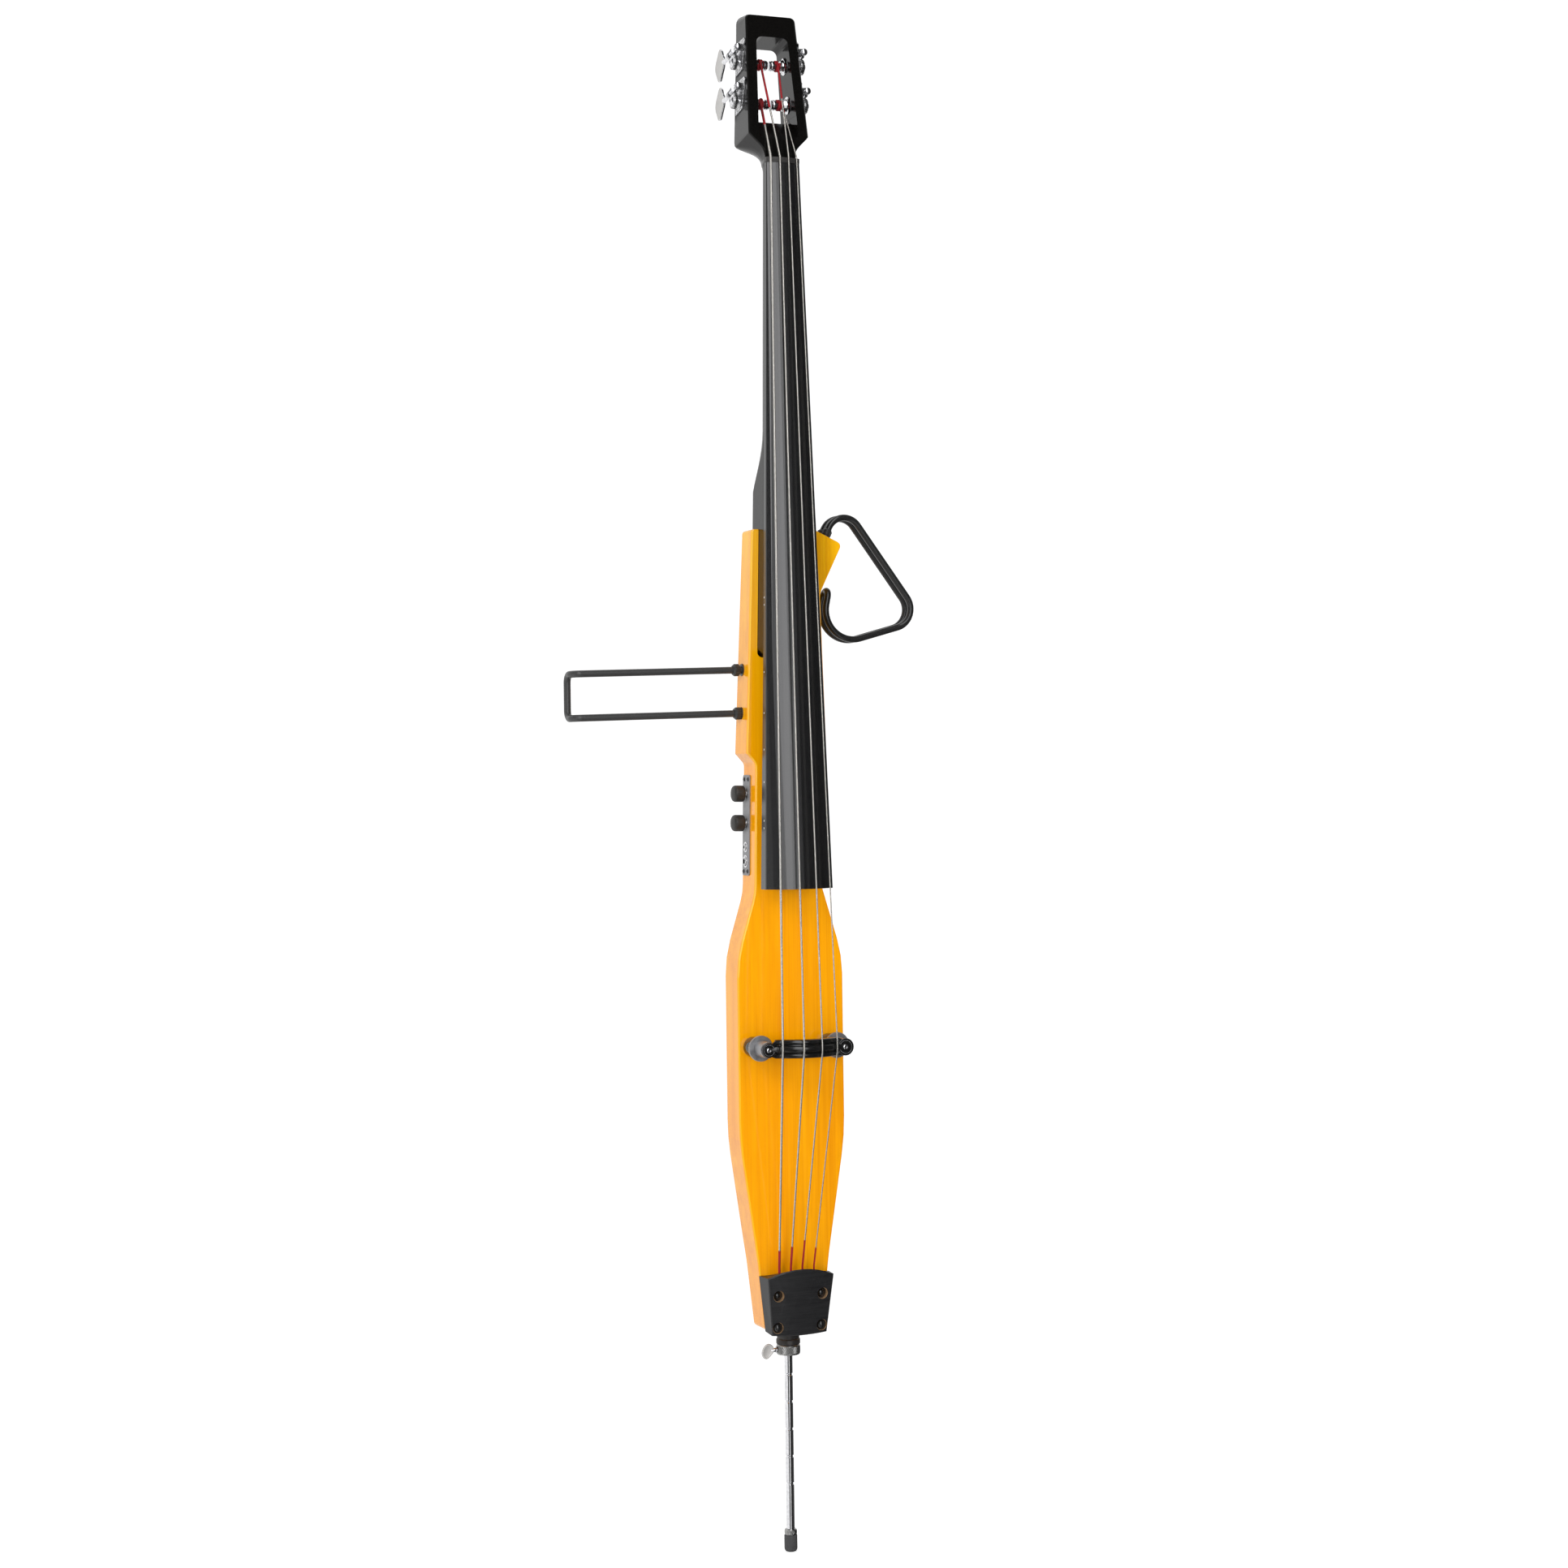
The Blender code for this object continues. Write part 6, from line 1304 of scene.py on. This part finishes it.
def build_brace():
    outward = Vector(joints["brace_slide"]["axis"]).normalized()
    nuts = [Vector(joints[f"brace_nut_{name}_turn"]["pos_m"]) for name in ("upper", "lower")]
    feet = []
    for height in (BRACE_Z + BRACE_SPREAD / 2, BRACE_Z - BRACE_SPREAD / 2):
        nut = min(nuts, key=lambda point: abs(point.z - height))
        feet.append(nut + outward * (height - nut.z) / outward.z)
    across = Vector((0, 1, 0))
    far = [foot + outward * (BRACE_REACH + foot.x) for foot in feet]
    corners = [
        (*(feet[0] - outward * BRACE_INSERTED), 0),
        (*far[0], BRACE_BEND),
        (*(far[0] + across * BRACE_BACK), BRACE_BEND),
        (*(far[1] + across * BRACE_BACK), BRACE_BEND),
        (*far[1], BRACE_BEND),
        (*(feet[1] - outward * BRACE_INSERTED), 0),
    ]
    rod = tube(fillet_path(corners), BRACE_RADIUS, 28)
    piece("brace_rod", rod, ROD_GREY, "left_brace", ("left_brace",))
    for name in ("upper", "lower"):
        joint = joints[f"brace_nut_{name}_turn"]
        item = f"brace_nut_{name}"
        build_nut(item, joint, BRACE_RADIUS, BRACE_NUT_RADIUS, BRACE_NUT_LENGTH)


def build_nut(item, joint, rod, radius, length):
    """A nut with straight grips and a turned-in end."""
    bore = rod + SLIDE_GAP
    profile = (
        (bore, 0),
        (radius - 0.0008, 0),
        (radius, 0.0008),
        (radius, length * 0.5),
        (radius, length - 0.0022),
        (radius - 0.0008, length - 0.0014),
        (radius - 0.0018, length),
        (bore, length),
    )
    shape = grooved(profile, 22, 0.0005, 0.0008, length - 0.0022)
    place = upright(joint["pos_m"], joint["axis"])
    piece(f"{item}_grip", moved(shape, place), BLACK_METAL, item, (item,), angle=25)


def build_rest():
    outward = Vector(joints["rest_slide"]["axis"]).normalized()
    seat = Vector(joints["rest_nut_front_turn"]["pos_m"]) - outward * NUT_SEAT
    middle = Vector((seat.x, 0, seat.z))
    rows = (REST_Y - REST_SPREAD / 2, REST_Y + REST_SPREAD / 2)
    start = middle - outward * REST_INSERTED
    crook = middle + outward * REST_RISE
    flat = [(start.x, 0, start.z, 0), (crook.x, 0, crook.z, REST_CROOK)]
    flat += [(x, 0, z, radius) for x, z, radius in REST_CORNERS]
    flat += [(REST_END[0], 0, REST_END[1], 0)]
    side = fillet_path(flat)
    front = [Vector((point.x, rows[0], point.z)) for point in side]
    back = [Vector((point.x, rows[1], point.z)) for point in side]
    heading = (front[-1] - front[-2]).normalized()
    loop = []
    steps = 20
    for step in range(1, steps):
        angle = math.pi * step / steps
        offset = heading * math.sin(angle) * REST_SPREAD / 2
        shift = Vector((0, (1 - math.cos(angle)) * REST_SPREAD / 2, 0))
        loop.append(front[-1] + offset + shift)
    rod = tube(front + loop + back[::-1], REST_RADIUS, 28)
    piece("rest_rod", rod, ROD_BLACK, "body_rest", ("body_rest",))
    for name in ("front", "back"):
        joint = joints[f"rest_nut_{name}_turn"]
        build_nut(f"rest_nut_{name}", joint, REST_RADIUS, REST_NUT_RADIUS, REST_NUT_LENGTH)


# Side dots

DOT_STEPS = (12, 15, 17, 19, 21, 24)
DOT_PAIRS = (12, 24)
DOT_RADIUS = 0.0011
DOT_PAIR_GAP = 0.0088
DOT_DEPTH = 0.0060


def build_side_dots():
    """Pale dots on the board's bass side, where the semitones lie along the string."""
    dots = []
    for step in DOT_STEPS:
        height = BRIDGE_Z + SCALE_LENGTH * 2 ** (-step / 12)
        spread = (-DOT_PAIR_GAP / 2, DOT_PAIR_GAP / 2) if step in DOT_PAIRS else (0,)
        for shift in spread:
            z = height + shift
            profile = ((0, -0.0004), (DOT_RADIUS, -0.0004), (DOT_RADIUS, 0.00008), (0, 0.00010))
            place = upright((-board_half_width(z), board_edge_y(z) + DOT_DEPTH, z), (-1, 0, 0))
            dots.append(moved(lathe(profile, 20), place))
    piece("side_dots", merged(*dots), DOT, "instrument")


build_strings()
build_tuners()
build_bridge()
build_tail_screws()
build_spike()
build_collar()
build_thumb_screw()
build_knobs()
build_panel_details()
build_brace()
build_rest()
build_side_dots()

# Floor, light and camera

SWEEP_DISTANCE = 4.5
SWEEP_RADIUS = 1.5
SWEEP_HEIGHT = 5.0
SWEEP_HALF_WIDTH = 14.0
FLOOR_DROP = 0.0005


def sweep_mesh():
    """A floor that curves up into the backdrop behind the object."""
    shape = bmesh.new()
    line = [(-12.0, -FLOOR_DROP), (SWEEP_DISTANCE, -FLOOR_DROP)]
    for step in range(1, 13):
        angle = math.pi / 2 * step / 12
        line.append(
            (
                SWEEP_DISTANCE + SWEEP_RADIUS * math.sin(angle),
                SWEEP_RADIUS * (1 - math.cos(angle)) - FLOOR_DROP,
            )
        )
    line.append((SWEEP_DISTANCE + SWEEP_RADIUS, SWEEP_HEIGHT))
    rows = []
    for x in (-SWEEP_HALF_WIDTH, SWEEP_HALF_WIDTH):
        rows.append([shape.verts.new((x, y, z)) for y, z in line])
    for index in range(len(line) - 1):
        corners = (rows[0][index], rows[1][index], rows[1][index + 1], rows[0][index + 1])
        shape.faces.new(corners)
    made = bpy.data.meshes.new("floor")
    shape.to_mesh(made)
    shape.free()
    made.shade_smooth()
    return made


def seen_directly(tree):
    """1 for rays from the camera or through glass, else 0."""
    path = node(tree, "ShaderNodeLightPath")
    seen = math_node(tree, "MAXIMUM", path.outputs["Is Camera Ray"], path.outputs["Is Transmission Ray"])
    return path, seen


floor = bpy.data.objects.new("floor", sweep_mesh())
bpy.context.scene.collection.objects.link(floor)
floor_material, floor_tree, floor_shader = new_material("pale_floor")
floor_shader.inputs["Base Color"].default_value = (0.80, 0.80, 0.80, 1.0)
floor_shader.inputs["Roughness"].default_value = 1.0
floor_shader.inputs["Specular IOR Level"].default_value = 0.0
floor_shader.inputs["Emission Color"].default_value = (1.0, 1.0, 1.0, 1.0)
floor_path, floor_seen = seen_directly(floor_tree)
floor_glow = math_node(floor_tree, "MULTIPLY", floor_seen, 0.55)
floor_tree.links.new(floor_glow, floor_shader.inputs["Emission Strength"])
floor.data.materials.append(floor_material)
floor.visible_glossy = False


def studio_world():
    """White to the camera, soft light all round, and in mirrors a dim room with bright panels."""
    made = bpy.data.worlds.new("studio")
    made.use_nodes = True
    tree = made.node_tree
    background = tree.nodes["Background"]
    place = node(tree, "ShaderNodeTexCoord")
    split = node(tree, "ShaderNodeSeparateXYZ")
    tree.links.new(place.outputs["Generated"], split.inputs["Vector"])
    turn = math_node(tree, "ARCTAN2", split.outputs["X"], split.outputs["Y"])
    round_trip = node(tree, "ShaderNodeMapRange")
    round_trip.inputs["From Min"].default_value = -math.pi
    round_trip.inputs["From Max"].default_value = math.pi
    tree.links.new(turn, round_trip.inputs["Value"])
    dim = (0.03, 0.03, 0.03)
    grey = (0.30, 0.30, 0.30)
    panel = (2.9, 2.9, 2.95)
    white = (1.0, 1.0, 1.0)
    upper = ramp(
        tree,
        round_trip.outputs["Result"],
        (0.000, panel),
        (0.060, panel),
        (0.075, dim),
        (0.120, dim),
        (0.140, grey),
        (0.220, grey),
        (0.300, white),
        (0.660, white),
        (0.700, dim),
        (0.740, dim),
        (0.750, grey),
        (0.760, dim),
        (0.975, dim),
        (0.985, panel),
    )
    lower = ramp(
        tree,
        round_trip.outputs["Result"],
        (0.000, white),
        (0.035, white),
        (0.047, dim),
        (0.112, dim),
        (0.135, white),
        (0.600, white),
        (0.640, grey),
        (0.700, dim),
        (0.740, dim),
        (0.750, grey),
        (0.760, dim),
        (0.985, dim),
        (0.993, white),
    )
    height = node(tree, "ShaderNodeMapRange")
    height.inputs["From Min"].default_value = -0.060
    height.inputs["From Max"].default_value = -0.040
    tree.links.new(split.outputs["Z"], height.inputs["Value"])
    room = mixed(tree, height.outputs["Result"], lower, upper)
    path, seen = seen_directly(tree)
    lit = mixed(tree, path.outputs["Is Glossy Ray"], (0.57, 0.57, 0.57), room)
    shown = mixed(tree, seen, lit, (1.0, 1.0, 1.0))
    tree.links.new(shown, background.inputs["Color"])
    background.inputs["Strength"].default_value = 1.0
    return made


bpy.context.scene.world = studio_world()


def area_light(name, place, target, size, power):
    lamp = bpy.data.lights.new(name, "AREA")
    lamp.size = size
    lamp.energy = power
    item = bpy.data.objects.new(name, lamp)
    item.location = place
    item.rotation_euler = (Vector(target) - Vector(place)).to_track_quat("-Z", "Y").to_euler()
    item.visible_glossy = False
    bpy.context.scene.collection.objects.link(item)


area_light("key", (-2.6, -2.4, 2.8), (0, 0, 0.9), 1.4, 45)
area_light("fill", (2.4, -2.6, 1.4), (0, 0, 0.9), 2.0, 34)
area_light("side", (-3.0, -2.6, 1.0), (0, 0, 0.9), 1.4, 66)

VIEW_AZIMUTH = math.radians(21)
EYE_HEIGHT = 0.9242
EYE_DISTANCE = 3.4445
LENS = 65.63
ROLL = math.radians(-0.77)
SHIFT_X = 0.0021

camera_data = bpy.data.cameras.new("camera")
camera_data.lens = LENS
camera_data.sensor_width = 36.0
camera_data.shift_x = SHIFT_X
camera = bpy.data.objects.new("camera", camera_data)
ahead = Vector((math.sin(VIEW_AZIMUTH), math.cos(VIEW_AZIMUTH), 0))
facing = ahead.to_track_quat("-Z", "Y").to_matrix().to_4x4()
camera.matrix_world = (
    Matrix.Translation(Vector((0, 0, EYE_HEIGHT)) - EYE_DISTANCE * ahead)
    @ facing
    @ Matrix.Rotation(ROLL, 4, "Z")
)
bpy.context.scene.collection.objects.link(camera)
bpy.context.scene.camera = camera
bpy.context.scene.view_settings.view_transform = "Standard"
